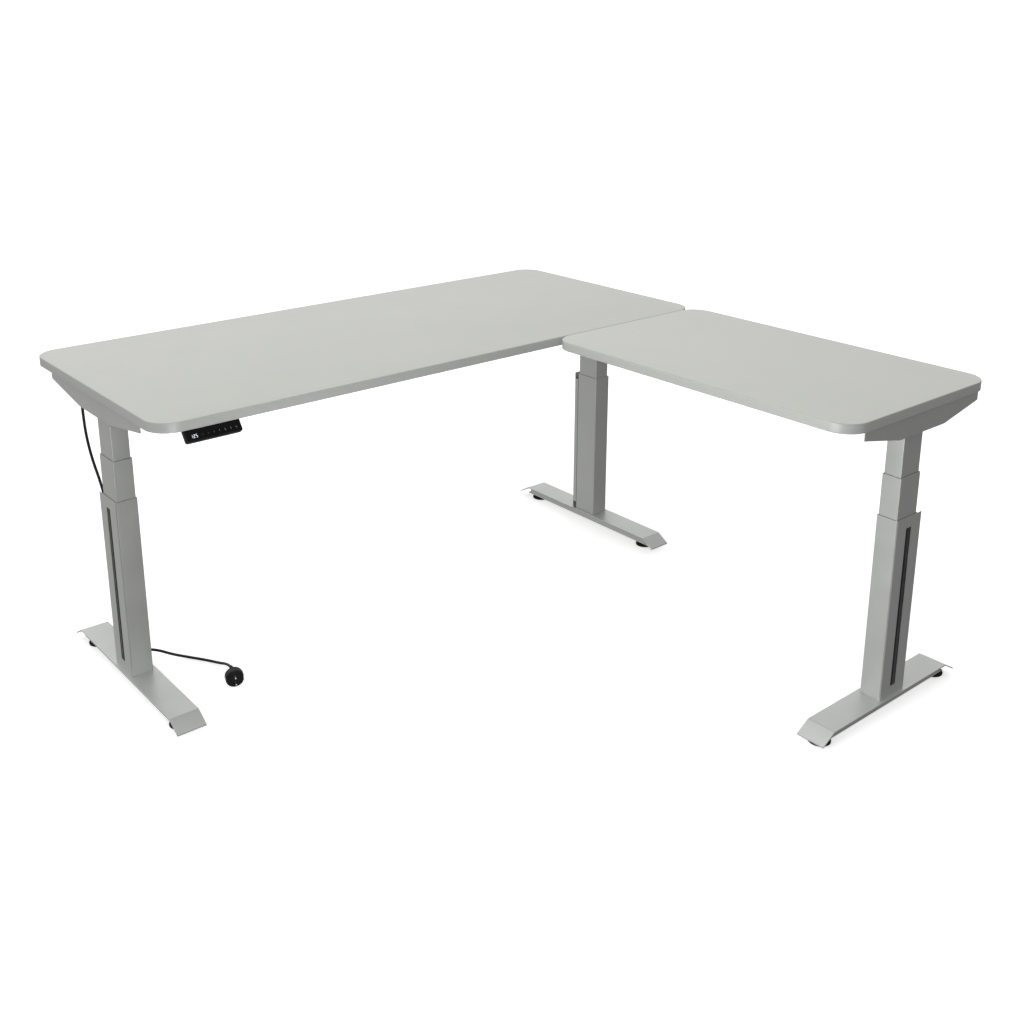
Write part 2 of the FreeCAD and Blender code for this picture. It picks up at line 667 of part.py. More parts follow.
# It leaves the foot of the duct over the foot plate and lies on the floor as far as its plug.
FLOOR_ROUTE = [
    (-816.5, 552, 53), (-794, 552, 53), (-759, 557, 36), (-723, 547, 14),
    (-685, 516, 4.1), (-655, 472, 4), (-637, 430, 7), (-630, 396, 17),
]


def mains_lead():
    radius = size("lead_rad")
    bend = size("lead_bend")
    node("hanging_lead", lead("hanging_lead", HANGING_ROUTE, radius))
    duct_start = HANGING_ROUTE[-1]
    exit_x, exit_y, exit_z = FLOOR_ROUTE[0]
    node("duct_lead", lead("duct_lead", [duct_start, (duct_start[0], exit_y, exit_z),
                                         (exit_x, exit_y, exit_z)], radius, [bend]))
    back = size("plug_front + plug_back + relief_long")
    turn = math.radians(size("plug_turn"))
    relief_end = (size("plug_x") + back * math.sin(turn), size("plug_y") + back * math.cos(turn),
                  size("plug_rad"))
    node("floor_lead", lead("floor_lead", FLOOR_ROUTE + [relief_end], radius))
    z = size("board_low - lead_drop")
    x, y = size("lead_x"), size("lead_y")
    node("under_top_lead", lead("under_top_lead", [
        (size("box_x - box_long / 2"), y, z), (x, y, z), HANGING_ROUTE[0]], radius, [bend]))


def run_span(ends):
    """The outer span of one straight run, widened where it turns into the next run."""
    (low, low_joined), (high, high_joined) = sorted(ends, key=lambda end: size(end[0]))
    if size(low) == size(high):
        return (f"{low} - trunk_w / 2", f"{high} + trunk_w / 2")
    return (low + " - trunk_w / 2" * low_joined, high + " + trunk_w / 2" * high_joined)


def trunking(name, points):
    """Flat plastic trunking under the boards, closed at both ends, along straight runs."""
    outsides, hollows = [], []
    for index, (start, end) in enumerate(zip(points, points[1:])):
        joined = (index > 0, index + 2 < len(points))
        x = run_span([(start[0], joined[0]), (end[0], joined[1])])
        y = run_span([(start[1], joined[0]), (end[1], joined[1])])
        outsides.append(block(f"{name}_run{index}", x, y, ("board_low - trunk_high", "board_low")))
        hollows.append(block(f"{name}_hollow{index}", (f"{x[0]} + trunk_wall", f"{x[1]} - trunk_wall"),
                             (f"{y[0]} + trunk_wall", f"{y[1]} - trunk_wall"),
                             ("board_low - trunk_high + trunk_wall", "board_low + 1")))
    return cut(name, fuse(name + "_outside", *outsides), *hollows)


# Runs of the trunking for the three motors' wires and the handset's, to the control box.
TRUNKING = {
    "left": [("left_x + arm_w / 2", "505"), ("-270", "505"), ("-270", "box_front")],
    "corner": [("corner_x - arm_w / 2", "500"), ("-90", "500"), ("-90", "box_front")],
    "return": [("return_x", "return_y + arm_w / 2"), ("return_x", "480"), ("-130", "480"),
               ("-130", "box_front")],
    "handset": [("-766", "handset_back"), ("-766", "400"), ("-230", "400"), ("-230", "box_front")],
}


CLIP_PLACES = (-720, -560, -400)


def lead_clip(name, x):
    """A strap clip under the board with a clear hole for the mains lead."""
    z = "(board_low - lead_drop)"
    body = block(name + "_body", (f"{x} - clip_long / 2", f"{x} + clip_long / 2"),
                 ("lead_y - lead_rad - clip_thk", "lead_y + lead_rad + clip_thk"),
                 (f"{z} - lead_rad - clip_thk", "board_low"))
    hole = doc.addObject("Part::Cylinder", name + "_hole")
    bind(hole, Radius="lead_rad", Height="clip_long + 2")
    hole.Placement = Placement(Vector(0, 0, 0), Rotation(Vector(0, 1, 0), 90))
    move(hole, f"{x} - clip_long / 2 - 1", "lead_y", z)
    return cut(name, body, hole)


# ---------------------------------------------------------------- plug
def at_plug(obj):
    """Lays a piece drawn along +Z from the plug's face back along the floor."""
    turn = size("plug_turn")
    obj.Placement = Placement(Vector(0, 0, 0), Rotation(Vector(0, 0, 1), -turn).multiply(
        Rotation(Vector(1, 0, 0), -90)))
    return move(obj, "plug_x", "plug_y", "plug_rad")


def plug():
    """A round mains plug with two round pins, its back tapering into a strain relief."""
    face = rod("plug_face", "plug_rad", "0", "plug_front")
    back = doc.addObject("Part::Cone", "plug_cone")
    bind(back, Radius1="plug_rad", Radius2="plug_neck", Height="plug_back")
    move(back, z="plug_front")
    holes = [rod(f"plug_hole{index}", "pin_neck", "-1", "pin_root", y=f"{sign}pin_gap / 2")
             for index, sign in enumerate(("-", ""))]
    node("plug_body", at_plug(cut("plug_body", fuse("plug_shell", face, back), *holes)))
    pins = [fuse(f"plug_pin{index}",
                 rod(f"plug_shank{index}", "pin_rad", "-pin_long", "0", y=f"{sign}pin_gap / 2"),
                 rod(f"plug_root{index}", "pin_neck", "-1", "pin_root", y=f"{sign}pin_gap / 2"))
            for index, sign in enumerate(("-", ""))]
    group("plug_pins", [at_plug(pin) for pin in pins])
    relief = doc.addObject("Part::Cone", "plug_relief")
    bind(relief, Radius1="plug_neck", Radius2="relief_end", Height="relief_long")
    move(relief, z="plug_front + plug_back")
    node("plug_relief", at_plug(carrier("plug_relief_piece", relief)))


# ---------------------------------------------------------------- the whole desk
def build():
    worktops()
    group("foot_channels", [foot_channel(leg) for leg in LEGS])
    group("slot_strips", [slot_strip(leg) for leg in LEGS])
    group("outer_glides", [glides("outer_glide", leg, "(outer_w - 2 * outer_wall)",
                                  "(outer_d - 2 * outer_wall)", "outer_top - glide_len",
                                  "outer_top - 1", "outer_rad - outer_wall") for leg in LEGS])
    group("inner_glides", [glides("inner_glide", leg, "(inner_w + 2 * glide_thk)",
                                  "(inner_d + 2 * glide_thk)", "inner_low",
                                  "inner_low + glide_len", "inner_rad + glide_thk")
                           for leg in LEGS])
    for leg in LEGS:
        foot(leg)
        leg_tubes(leg)
        duct_cover(leg)
        drive_shaft(leg)
        arm(leg)
    for name, maker in (("base_screws", base_screw), ("drive_tubes", drive_tube),
                        ("stage_bearings", stage_bearing), ("push_tubes", push_tube),
                        ("drive_units", drive_unit)):
        group(name, [maker(leg) for leg in LEGS])
    for leg, ends in (("left", ("front", "rear")), ("corner", ("front", "rear")),
                      ("return", ("left", "right"))):
        for end, sign in zip(ends, ("-", "")):
            leveller(f"leveller_{leg}_{end}", leg, sign)
    rails()
    control_box()
    handset()
    mains_lead()
    group("wire_channels", [trunking(f"{name}_trunking", points) for name, points in TRUNKING.items()])
    group("lead_clips", [lead_clip(f"lead_clip{index}", x) for index, x in enumerate(CLIP_PLACES)])
    plug()


def check_and_export():
    doc.recompute()
    for obj in doc.Objects:
        if "Invalid" in obj.State or "Error" in obj.State:
            raise RuntimeError(f"{obj.Name} failed: {obj.State}")
    for name, obj in NODES:
        if obj.Shape.isNull() or not obj.Shape.isValid() or not obj.Shape.Solids:
            raise RuntimeError(f"{name} has no valid solid")
    os.makedirs("parts", exist_ok=True)
    for name, obj in NODES:
        obj.Shape.exportStep(f"parts/{name}.step")
    box = FreeCAD.BoundBox()
    for name, obj in NODES:
        box.add(obj.Shape.BoundBox)
    print(f"{len(NODES)} sub-parts, {box.XLength:.1f} x {box.YLength:.1f} x {box.ZLength:.1f} mm")


build()
check_and_export()
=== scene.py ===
import json
import math

import bmesh
import bpy
from mathutils import Matrix, Vector

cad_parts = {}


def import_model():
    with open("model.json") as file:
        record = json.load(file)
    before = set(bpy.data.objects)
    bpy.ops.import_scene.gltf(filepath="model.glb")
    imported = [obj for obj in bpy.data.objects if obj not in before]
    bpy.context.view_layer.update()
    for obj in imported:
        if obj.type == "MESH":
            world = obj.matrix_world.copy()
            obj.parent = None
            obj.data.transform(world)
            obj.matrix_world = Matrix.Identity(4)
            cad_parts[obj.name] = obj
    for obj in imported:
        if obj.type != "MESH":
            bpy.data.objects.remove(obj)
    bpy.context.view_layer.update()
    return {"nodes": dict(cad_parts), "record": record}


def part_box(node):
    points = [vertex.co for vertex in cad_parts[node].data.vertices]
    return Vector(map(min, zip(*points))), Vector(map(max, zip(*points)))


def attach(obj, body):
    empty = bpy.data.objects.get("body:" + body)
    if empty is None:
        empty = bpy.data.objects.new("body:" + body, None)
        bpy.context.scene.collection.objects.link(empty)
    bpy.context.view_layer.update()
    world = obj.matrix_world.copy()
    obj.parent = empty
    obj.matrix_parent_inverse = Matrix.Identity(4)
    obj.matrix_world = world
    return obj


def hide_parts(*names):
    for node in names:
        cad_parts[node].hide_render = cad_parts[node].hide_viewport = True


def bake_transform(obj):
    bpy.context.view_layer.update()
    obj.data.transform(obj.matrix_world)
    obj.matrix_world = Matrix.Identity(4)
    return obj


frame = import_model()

LEGS = ("left", "corner", "return")
NODES = frame["nodes"]


# ---------------------------------------------------------------- camera and cords
CAMERA_AT = (-1.90884, -2.34288, 1.73568)
CAMERA_YAW = 39.31
CAMERA_PITCH = 16.427
CAMERA_ROLL = -0.09
CAMERA_LENS = 41.88
CAMERA_SHIFT = (0.0153, -0.1416)

LEAD_DIAMETER = 0.0075
# The same routes as the CAD tubes, in metres, as the control points of one smooth curve each.
HANGING_ROUTE = [
    (-0.860, 0.668, 0.768), (-0.860, 0.668, 0.715), (-0.861, 0.655, 0.658), (-0.863, 0.623, 0.608),
    (-0.865, 0.582, 0.569), (-0.866, 0.552, 0.527), (-0.866, 0.552, 0.480),
]
FLOOR_ROUTE = [
    (-0.8165, 0.552, 0.053), (-0.794, 0.552, 0.053), (-0.759, 0.557, 0.036), (-0.723, 0.547, 0.014),
    (-0.685, 0.516, 0.0041), (-0.655, 0.472, 0.004), (-0.637, 0.430, 0.007), (-0.630, 0.396, 0.017),
    (-0.635305, 0.362770, 0.025),
]
DUCT_ROUTE = [
    (-0.866, 0.552, 0.480), (-0.866, 0.552, 0.1025), (-0.866, 0.552, 0.053), (-0.8165, 0.552, 0.053),
]
UNDER_TOP_ROUTE = [
    (-0.295, 0.668, 0.805), (-0.823, 0.668, 0.805), (-0.860, 0.668, 0.805), (-0.860, 0.668, 0.768),
]


def camera():
    data = bpy.data.cameras.new("camera")
    data.lens = CAMERA_LENS
    data.sensor_width = 36
    data.shift_x, data.shift_y = CAMERA_SHIFT
    obj = bpy.data.objects.new("camera", data)
    bpy.context.scene.collection.objects.link(obj)
    turn = (Matrix.Rotation(math.radians(-CAMERA_YAW), 4, "Z")
            @ Matrix.Rotation(math.radians(90 - CAMERA_PITCH), 4, "X")
            @ Matrix.Rotation(math.radians(CAMERA_ROLL), 4, "Z"))
    obj.matrix_world = Matrix.Translation(CAMERA_AT) @ turn
    bpy.context.scene.camera = obj


def spline_points(name, route):
    """The points of one smooth open NURBS spline whose control points are the route."""
    data = bpy.data.curves.new(name + "_line", "CURVE")
    data.dimensions = "3D"
    data.resolution_u = 16
    spline = data.splines.new("NURBS")
    spline.points.add(len(route) - 1)
    for point, at in zip(spline.points, route):
        point.co = (*at, 1)
    spline.order_u = 3
    spline.use_endpoint_u = True
    curve = bpy.data.objects.new(name + "_line", data)
    bpy.context.scene.collection.objects.link(curve)
    bpy.context.view_layer.update()
    graph = bpy.context.evaluated_depsgraph_get()
    line = bpy.data.meshes.new_from_object(curve.evaluated_get(graph))
    points = [vertex.co.copy() for vertex in line.vertices]
    bpy.data.objects.remove(curve)
    bpy.data.meshes.remove(line)
    return points


# ---------------------------------------------------------------- shader building blocks
class Shader:
    """A node tree with one Principled shader and short ways to add to it."""

    def __init__(self, name, colour, roughness, metallic=0.0, **sockets):
        self.material = bpy.data.materials.new(name)
        self.material.use_nodes = True
        self.tree = self.material.node_tree
        self.surface = self.tree.nodes["Principled BSDF"]
        self.set(self.surface, **{"Base Color": (*colour, 1), "Roughness": roughness,
                                  "Metallic": metallic, **sockets})
        self.place = self.tree.nodes.new("ShaderNodeTexCoord").outputs["Object"]

    def set(self, node, **sockets):
        for key, value in sockets.items():
            node.inputs[key].default_value = value
        return node

    def add(self, kind, links=None, **sockets):
        node = self.tree.nodes.new("ShaderNode" + kind)
        self.set(node, **sockets)
        for key, output in (links or {}).items():
            self.tree.links.new(output, node.inputs[key])
        return node

    def link(self, output, socket):
        self.tree.links.new(output, self.surface.inputs[socket])

    def stretched(self, scale):
        """Object coordinates scaled differently along each axis, for brushed or drawn marks."""
        return self.add("Mapping", {"Vector": self.place}, Scale=scale).outputs["Vector"]

    def noise(self, scale, detail=2.0, rough=0.5, place=None):
        node = self.add("TexNoise", {"Vector": place or self.place},
                        Scale=scale, Detail=detail, Roughness=rough)
        return node.outputs["Fac"]

    def cells(self, scale):
        return self.add("TexVoronoi", {"Vector": self.place}, Scale=scale).outputs["Color"]

    def spread(self, value, low, high, start=0.35, end=0.65):
        """Makes the roughness run from low to high as a texture runs from start to end."""
        node = self.add("MapRange", {"Value": value}, **{
            "From Min": start, "From Max": end, "To Min": low, "To Max": high})
        self.link(node.outputs["Result"], "Roughness")

    def tint(self, value, dark, light, start=0.35, end=0.65):
        """Makes the base colour run between two colours as a texture runs from start to end."""
        ramp = self.add("ValToRGB", {"Fac": value})
        ramp.color_ramp.elements[0].position = start
        ramp.color_ramp.elements[0].color = (*dark, 1)
        ramp.color_ramp.elements[1].position = end
        ramp.color_ramp.elements[1].color = (*light, 1)
        self.link(ramp.outputs["Color"], "Base Color")

    def bump(self, height, distance, strength, below=None):
        links = {"Height": height}
        if below is not None:
            links["Normal"] = below
        node = self.add("Bump", links, Distance=distance, Strength=strength)
        return node.outputs["Normal"]


def shade(colour, factor):
    """A colour made darker or lighter."""
    return tuple(min(1.0, value * factor) for value in colour)


# Base colours, linear
LAMINATE = (0.585, 0.595, 0.555)
# The edging's colour is the laminate's colour darkened: painted shade for its upright faces.
BANDING_SHADED = (0.485, 0.495, 0.476)
SILVER = (0.520, 0.530, 0.522)
BLACK = (0.006, 0.006, 0.0065)
SHEATH = (0.007, 0.007, 0.0075)
ZINC = (0.560, 0.565, 0.575)
NICKEL = (0.700, 0.690, 0.670)
NYLON = (0.028, 0.028, 0.030)
DRIVE_BLACK = (0.022, 0.022, 0.024)
PRINT_DIM = (0.07, 0.07, 0.08)
PRINT_BRIGHT = (0.22, 0.22, 0.24)


def laminate():
    """Melamine laminate: a fine grained surface with faint clouding."""
    look = Shader("laminate", LAMINATE, 0.42, **{"Specular IOR Level": 0.35})
    clouds = look.noise(6, 3)
    grain = look.noise(1400, 2, 0.6)
    look.tint(look.add("Math", {0: clouds, 1: grain}).outputs[0],
              shade(LAMINATE, 0.975), shade(LAMINATE, 0.995), 0.75, 1.25)
    look.spread(look.noise(9, 4, 0.6), 0.405, 0.435)
    look.link(look.bump(grain, 0.00006, 0.5), "Normal")
    return look.material


def banding():
    """Extruded plastic edging with faint marks along the extrusion; its colour is the laminate's, darkened as
    painted shade for its upright faces.
    """
    look = Shader("banding", BANDING_SHADED, 0.36)
    streaks = look.noise(30, 3, 0.6, look.stretched((1, 1, 60)))
    speckle = look.noise(1200, 2)
    look.tint(streaks, shade(BANDING_SHADED, 0.96), shade(BANDING_SHADED, 1.03))
    look.spread(streaks, 0.32, 0.42)
    look.link(look.bump(speckle, 0.00005, 0.35, look.bump(streaks, 0.00004, 0.5)), "Normal")
    return look.material


def silver_paint():
    """Silver powder coat: a metallic paint with fine orange peel and flakes."""
    look = Shader("silver_paint", SILVER, 0.40, 0.55, **{
        "Coat Weight": 0.12, "Coat Roughness": 0.30})
    flake = look.add("RGBToBW", {"Color": look.cells(2600)}).outputs["Val"]
    clouds = look.noise(5, 3)
    look.tint(look.add("Math", {0: clouds, 1: flake}).outputs[0],
              shade(SILVER, 0.95), shade(SILVER, 1.05), 0.6, 1.4)
    look.spread(look.noise(14, 4, 0.6), 0.36, 0.44)
    look.link(look.bump(look.noise(650, 2), 0.00010, 0.35), "Normal")
    return look.material


def black_plastic():
    """Moulded plastic with a fine spark-eroded grain."""
    look = Shader("black_plastic", BLACK, 0.52, **{"Specular IOR Level": 0.25})
    grain = look.noise(1500, 3, 0.6)
    look.tint(look.noise(25, 3), shade(BLACK, 0.8), shade(BLACK, 1.5))
    look.spread(look.noise(60, 3), 0.45, 0.60)
    look.link(look.bump(grain, 0.00012, 0.6), "Normal")
    return look.material


def gloss_black():
    """Polished acrylic with the faintest smears."""
    look = Shader("gloss_black", shade(BLACK, 0.45), 0.12, **{"Specular IOR Level": 0.16})
    smears = look.noise(35, 3, 0.6, look.stretched((1, 3, 3)))
    look.tint(smears, shade(BLACK, 0.35), shade(BLACK, 0.6))
    look.spread(smears, 0.09, 0.20)
    return look.material


def sheath():
    """Flexible PVC sheath: soft sheen, slight unevenness and a little dust."""
    look = Shader("sheath", SHEATH, 0.42, **{"Specular IOR Level": 0.3})
    dust = look.noise(90, 4, 0.65)
    look.tint(dust, shade(SHEATH, 0.85), shade(SHEATH, 2.0), 0.4, 0.75)
    look.spread(dust, 0.36, 0.52)
    look.link(look.bump(look.noise(400, 2), 0.00008, 0.5), "Normal")
    return look.material


def zinc():
    """Bright zinc plate with cloudy crystals and drawn marks."""
    look = Shader("zinc", ZINC, 0.30, 1.0)
    drawn = look.noise(220, 3, 0.6, look.stretched((1, 1, 6)))
    cloud = look.noise(60, 4, 0.7)
    look.tint(cloud, shade(ZINC, 0.86), shade(ZINC, 1.08))
    look.spread(cloud, 0.24, 0.42)
    look.link(look.bump(drawn, 0.00006, 0.5), "Normal")
    return look.material


def nickel():
    """Plated contact metal, lightly rubbed along its length."""
    look = Shader("nickel", NICKEL, 0.18, 1.0)
    rubbed = look.noise(500, 3, 0.6, look.stretched((6, 1, 6)))
    look.tint(rubbed, shade(NICKEL, 0.88), shade(NICKEL, 1.06))
    look.spread(rubbed, 0.14, 0.30)
    return look.material


def nylon():
    """Dark nylon bearing material, slightly mottled."""
    look = Shader("nylon", NYLON, 0.45)
    look.tint(look.noise(45, 3), shade(NYLON, 0.8), shade(NYLON, 1.4))
    look.spread(look.noise(120, 3), 0.38, 0.52)
    look.link(look.bump(look.noise(900, 2), 0.00006, 0.5), "Normal")
    return look.material


def printed(name, colour):
    """Screen print on the glass: thin, slightly uneven ink."""
    look = Shader(name, colour, 0.5)
    ink = look.noise(700, 2)
    look.tint(ink, shade(colour, 0.85), shade(colour, 1.1))
    look.spread(ink, 0.42, 0.58)
    return look.material


def lit_digits():
    """Cold white light emitting segments, brighter in their middles."""
    look = Shader("lit_digits", (0.8, 0.85, 0.9), 0.4, **{
        "Emission Color": (0.86, 0.93, 1.0, 1), "Emission Strength": 0.75})
    glow = look.noise(300, 2)
    look.tint(glow, (0.72, 0.80, 0.88), (0.88, 0.93, 0.98))
    look.spread(glow, 0.35, 0.5)
    return look.material


def drive_paint():
    """Black stoved paint on the motors and gearboxes."""
    look = Shader("drive_paint", DRIVE_BLACK, 0.38, **{"Coat Weight": 0.2})
    look.tint(look.noise(30, 3), shade(DRIVE_BLACK, 0.8), shade(DRIVE_BLACK, 1.5))
    look.spread(look.noise(50, 3), 0.32, 0.46)
    look.link(look.bump(look.noise(500, 2), 0.00010, 0.5), "Normal")
    return look.material


LOOKS = {
    "worktop": laminate(), "banding": banding(), "frame": silver_paint(),
    "black_plastic": black_plastic(), "gloss_black": gloss_black(), "glide": nylon(),
    "steel": zinc(), "lead": sheath(), "pin": nickel(), "drive": drive_paint(),
    "print_dim": printed("print_dim", PRINT_DIM),
    "print_bright": printed("print_bright", PRINT_BRIGHT), "lit": lit_digits(),
}


# ---------------------------------------------------------------- mesh building blocks
class Piece:
    """A mesh in metres made of closed shells, with one look for each."""

    def __init__(self, name, body, *looks):
        self.name, self.body, self.looks = name, body, looks
        self.mesh = bmesh.new()

    def shell(self, rings, look=0, loop=False):
        """Joins equal rings of points in order. Ends are capped, or joined if it is a loop."""
        before = set(self.mesh.faces)
        rows = [[self.mesh.verts.new(point) for point in ring] for ring in rings]
        pairs = list(zip(rows, rows[1:])) + ([(rows[-1], rows[0])] if loop else [])
        for low, high in pairs:
            for index in range(len(low)):
                after = (index + 1) % len(low)
                self.mesh.faces.new((low[index], low[after], high[after], high[index]))
        if not loop:
            self.mesh.faces.new(list(reversed(rows[0])))
            self.mesh.faces.new(rows[-1])
        new = [face for face in self.mesh.faces if face not in before]
        bmesh.ops.recalc_face_normals(self.mesh, faces=new)
        for face in new:
            face.material_index = look

    def lathe(self, profile, place, look=0, steps=32, wave=None):
        """Turns (radius, height) pairs about the Z axis of a matrix. wave scales each angle."""
        rings = []
        for radius, height in profile:
            ring = []
            for step in range(steps):
                angle = 2 * math.pi * step / steps
                reach = radius * (wave(angle, height) if wave else 1)
                ring.append(place @ Vector((reach * math.cos(angle), reach * math.sin(angle), height)))
            rings.append(ring)
        self.shell(rings, look)

    def block(self, low, high, bevel=0.0, look=0, place=None, segments=2):
        """A box between two corners with its edges rounded."""
        before = set(self.mesh.verts)
        result = bmesh.ops.create_cube(self.mesh, size=1)
        middle = (Vector(low) + Vector(high)) / 2
        span = Vector(high) - Vector(low)
        for vertex in result["verts"]:
            vertex.co = Vector(a * b for a, b in zip(vertex.co, span)) + middle
        faces = {face for vertex in result["verts"] for face in vertex.link_faces}
        for face in faces:
            face.material_index = look
        if bevel:
            edges = {edge for vertex in result["verts"] for edge in vertex.link_edges}
            bmesh.ops.bevel(self.mesh, geom=list(edges), offset=bevel, segments=segments,
                            profile=0.5, affect="EDGES", clamp_overlap=True)
        if place is not None:
            for vertex in self.mesh.verts:
                if vertex not in before:
                    vertex.co = place @ vertex.co

    def tube(self, points, radius):
        """A round tube along a line of points, its frame carried without twist."""
        steps = 16
        ahead = [(b - a).normalized() for a, b in zip(points, points[1:])]
        ahead.append(ahead[-1])
        side = ahead[0].orthogonal().normalized()
        rings = []
        for index, point in enumerate(points):
            before = ahead[max(0, index - 1)]
            along = (before + ahead[index]).normalized()
            side = (side - along * side.dot(along)).normalized()
            other = along.cross(side)
            rings.append([point + radius * (math.cos(angle) * side + math.sin(angle) * other)
                          for angle in (2 * math.pi * step / steps for step in range(steps))])
        self.shell(rings)

    def finish(self, replaces=(), smooth=35, ride=True):
        """Makes the object, with edges sharper than the smooth angle left sharp."""
        data = bpy.data.meshes.new(self.name)
        self.mesh.to_mesh(data)
        self.mesh.free()
        obj = bpy.data.objects.new(self.name, data)
        bpy.context.scene.collection.objects.link(obj)
        for look in self.looks:
            data.materials.append(LOOKS[look])
        data.polygons.foreach_set("use_smooth", [True] * len(data.polygons))
        data.set_sharp_from_angle(angle=math.radians(smooth))
        if ride:
            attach(obj, self.body)
        if replaces:
            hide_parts(*replaces)
        return obj


def rounded_outline(low, high, radius, height, steps):
    """A rounded rectangle at one height, counter-clockwise."""
    points = []
    corners = ((high[0] - radius, high[1] - radius, 0), (low[0] + radius, high[1] - radius, 90),
               (low[0] + radius, low[1] + radius, 180), (high[0] - radius, low[1] + radius, 270))
    for x, y, start in corners:
        for step in range(steps + 1):
            angle = math.radians(start + 90 * step / steps)
            points.append(Vector((x + radius * math.cos(angle), y + radius * math.sin(angle), height)))
    return points


def edge_steps(low, high, round_low, round_high):
    """(inset, height) pairs up the side of a slab whose edges are rounded."""
    steps = 5
    angles = [math.pi / 2 * step / steps for step in range(steps + 1)]
    return ([(round_low * (1 - math.sin(angle)), low + round_low * (1 - math.cos(angle)))
             for angle in angles]
            + [(round_high * (1 - math.cos(angle)), high - round_high * (1 - math.sin(angle)))
               for angle in angles])


def slab_rings(low, high, radius, round_low, round_high, steps):
    """Rings of a rounded rectangular slab between two corners."""
    rings = []
    for inset, height in edge_steps(low[2], high[2], round_low, round_high):
        rings.append(rounded_outline((low[0] + inset, low[1] + inset),
                                     (high[0] - inset, high[1] - inset),
                                     max(radius - inset, 0.0001), height, steps))
    return rings


def long_axis(low, high):
    """0 if a box is longer along X, 1 if it is longer along Y."""
    return 0 if high[0] - low[0] > high[1] - low[1] else 1


# ---------------------------------------------------------------- cords
def leads():
    """Each lead is a round tube that follows the smooth curve of its route."""
    radius = LEAD_DIAMETER / 2
    for name, route, body, node in (("mains_lead_under_top", UNDER_TOP_ROUTE, "top", "under_top_lead"),
                                    ("mains_lead_in_duct", DUCT_ROUTE, "base", "duct_lead")):
        piece = Piece(name, body, "lead")
        piece.tube(spline_points(name, route), radius)
        piece.finish((node,))
    line = spline_points("mains_lead_hanging", HANGING_ROUTE)
    piece = Piece("mains_lead_hanging", "top", "lead")
    piece.tube(line, radius)
    hanging = piece.finish(("hanging_lead",), ride=False)
    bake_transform(hanging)
    line = spline_points("mains_lead_floor", FLOOR_ROUTE)
    piece = Piece("mains_lead_floor", "base", "lead")
    piece.tube(line, radius)
    on_floor = piece.finish(("floor_lead",))
    plug()


# ---------------------------------------------------------------- plug
PLUG_TURN = 18
PLUG_RADIUS = 0.025
PLUG_FRONT = 0.022
PLUG_BACK = 0.016
PLUG_NECK = 0.009
PLUG_STEPS = 96
BARREL_START = 0.0045
BARREL_LONG = 0.0145
DOME_RADIUS = 0.0236
DOME_DROP = 0.0142
GRIP_RIBS = 24
GRIP_DEPTH = 0.028
GRIP_FROM = 0.004
GRIP_TO = 0.019
EARTH_DEPTH = 0.10
EARTH_COSINE = 0.975
EARTH_TOP = 0.0195
EARTH_AT = 0.0232
RELIEF_LONG = 0.028
RELIEF_END = 0.0049
RELIEF_RIBS = 6
RELIEF_GROOVE = 0.0012
RELIEF_SETBACK = 0.001
PIN_GAP = 0.019
PIN_RADIUS = 0.0024
PIN_LONG = 0.019
PIN_ROUND = 0.0012
PIN_STEPS = 24
# (radius, height) pairs: the plug's face and rim, its shoulder, the collar and the foot of a pin
FACE_RIM = [(0.0005, 0.0009), (0.0206, 0.0009), (0.0212, 0.0002), (0.0226, 0.0), (0.0240, 0.0006),
            (0.0248, 0.0016), (PLUG_RADIUS, 0.0030)]
SHOULDER = [(0.0246, 0.0205), (DOME_RADIUS, PLUG_FRONT)]
PIN_COLLAR = [(0.0036, 0.0008), (0.0036, 0.0002), (0.0031, -0.0006), (0.0026, -0.0008)]
PIN_FOOT = [(PIN_RADIUS, -0.0006), (0.0019, -0.0004), (0.0019, 0.007)]


def plug_place():
    """Z runs from the plug's face back along its axis, at the plug's place on the floor."""
    turn = math.radians(PLUG_TURN)
    back = PLUG_FRONT + PLUG_BACK + RELIEF_LONG
    end = Vector(FLOOR_ROUTE[-1])
    face = end - back * Vector((math.sin(turn), math.cos(turn), 0))
    return (Matrix.Translation(face) @ Matrix.Rotation(-turn, 4, "Z")
            @ Matrix.Rotation(math.radians(-90), 4, "X"))


def grips(angle, height):
    """Grip ribs round the plug's body and a flat recess for the earth contact at each side."""
    depth = GRIP_DEPTH if GRIP_FROM < height < GRIP_TO else 0.0
    ribs = 1 - depth * (0.5 - 0.5 * math.cos(GRIP_RIBS * angle))
    recess = EARTH_DEPTH if abs(math.cos(angle)) > EARTH_COSINE and height < EARTH_TOP else 0.0
    return ribs - recess


def plug_shell(place):
    """The moulded body with an earth contact at each side and a collar round each pin."""
    rings, arcs = 10, 8
    profile = FACE_RIM + [(PLUG_RADIUS, BARREL_START + BARREL_LONG * step / rings)
                          for step in range(rings + 1)] + SHOULDER
    profile += [(DOME_RADIUS - DOME_DROP * math.sin(math.pi / 2 * step / arcs) ** 1.4,
                 PLUG_FRONT + PLUG_BACK * (step / arcs) ** 0.9) for step in range(1, arcs + 1)]
    body = Piece("plug_shell", "base", "black_plastic", "pin")
    body.lathe(profile, place, 0, PLUG_STEPS, grips)
    for sign in (-1, 1):
        body.block((sign * EARTH_AT - 0.0010, -0.0035, 0.0025), (sign * EARTH_AT + 0.0010, 0.0035, 0.019),
                   0.0004, 1, place)
        body.lathe(PIN_COLLAR, place @ Matrix.Translation((0, sign * PIN_GAP / 2, 0)), 0, PIN_STEPS)
    return body.finish(("plug_body",))


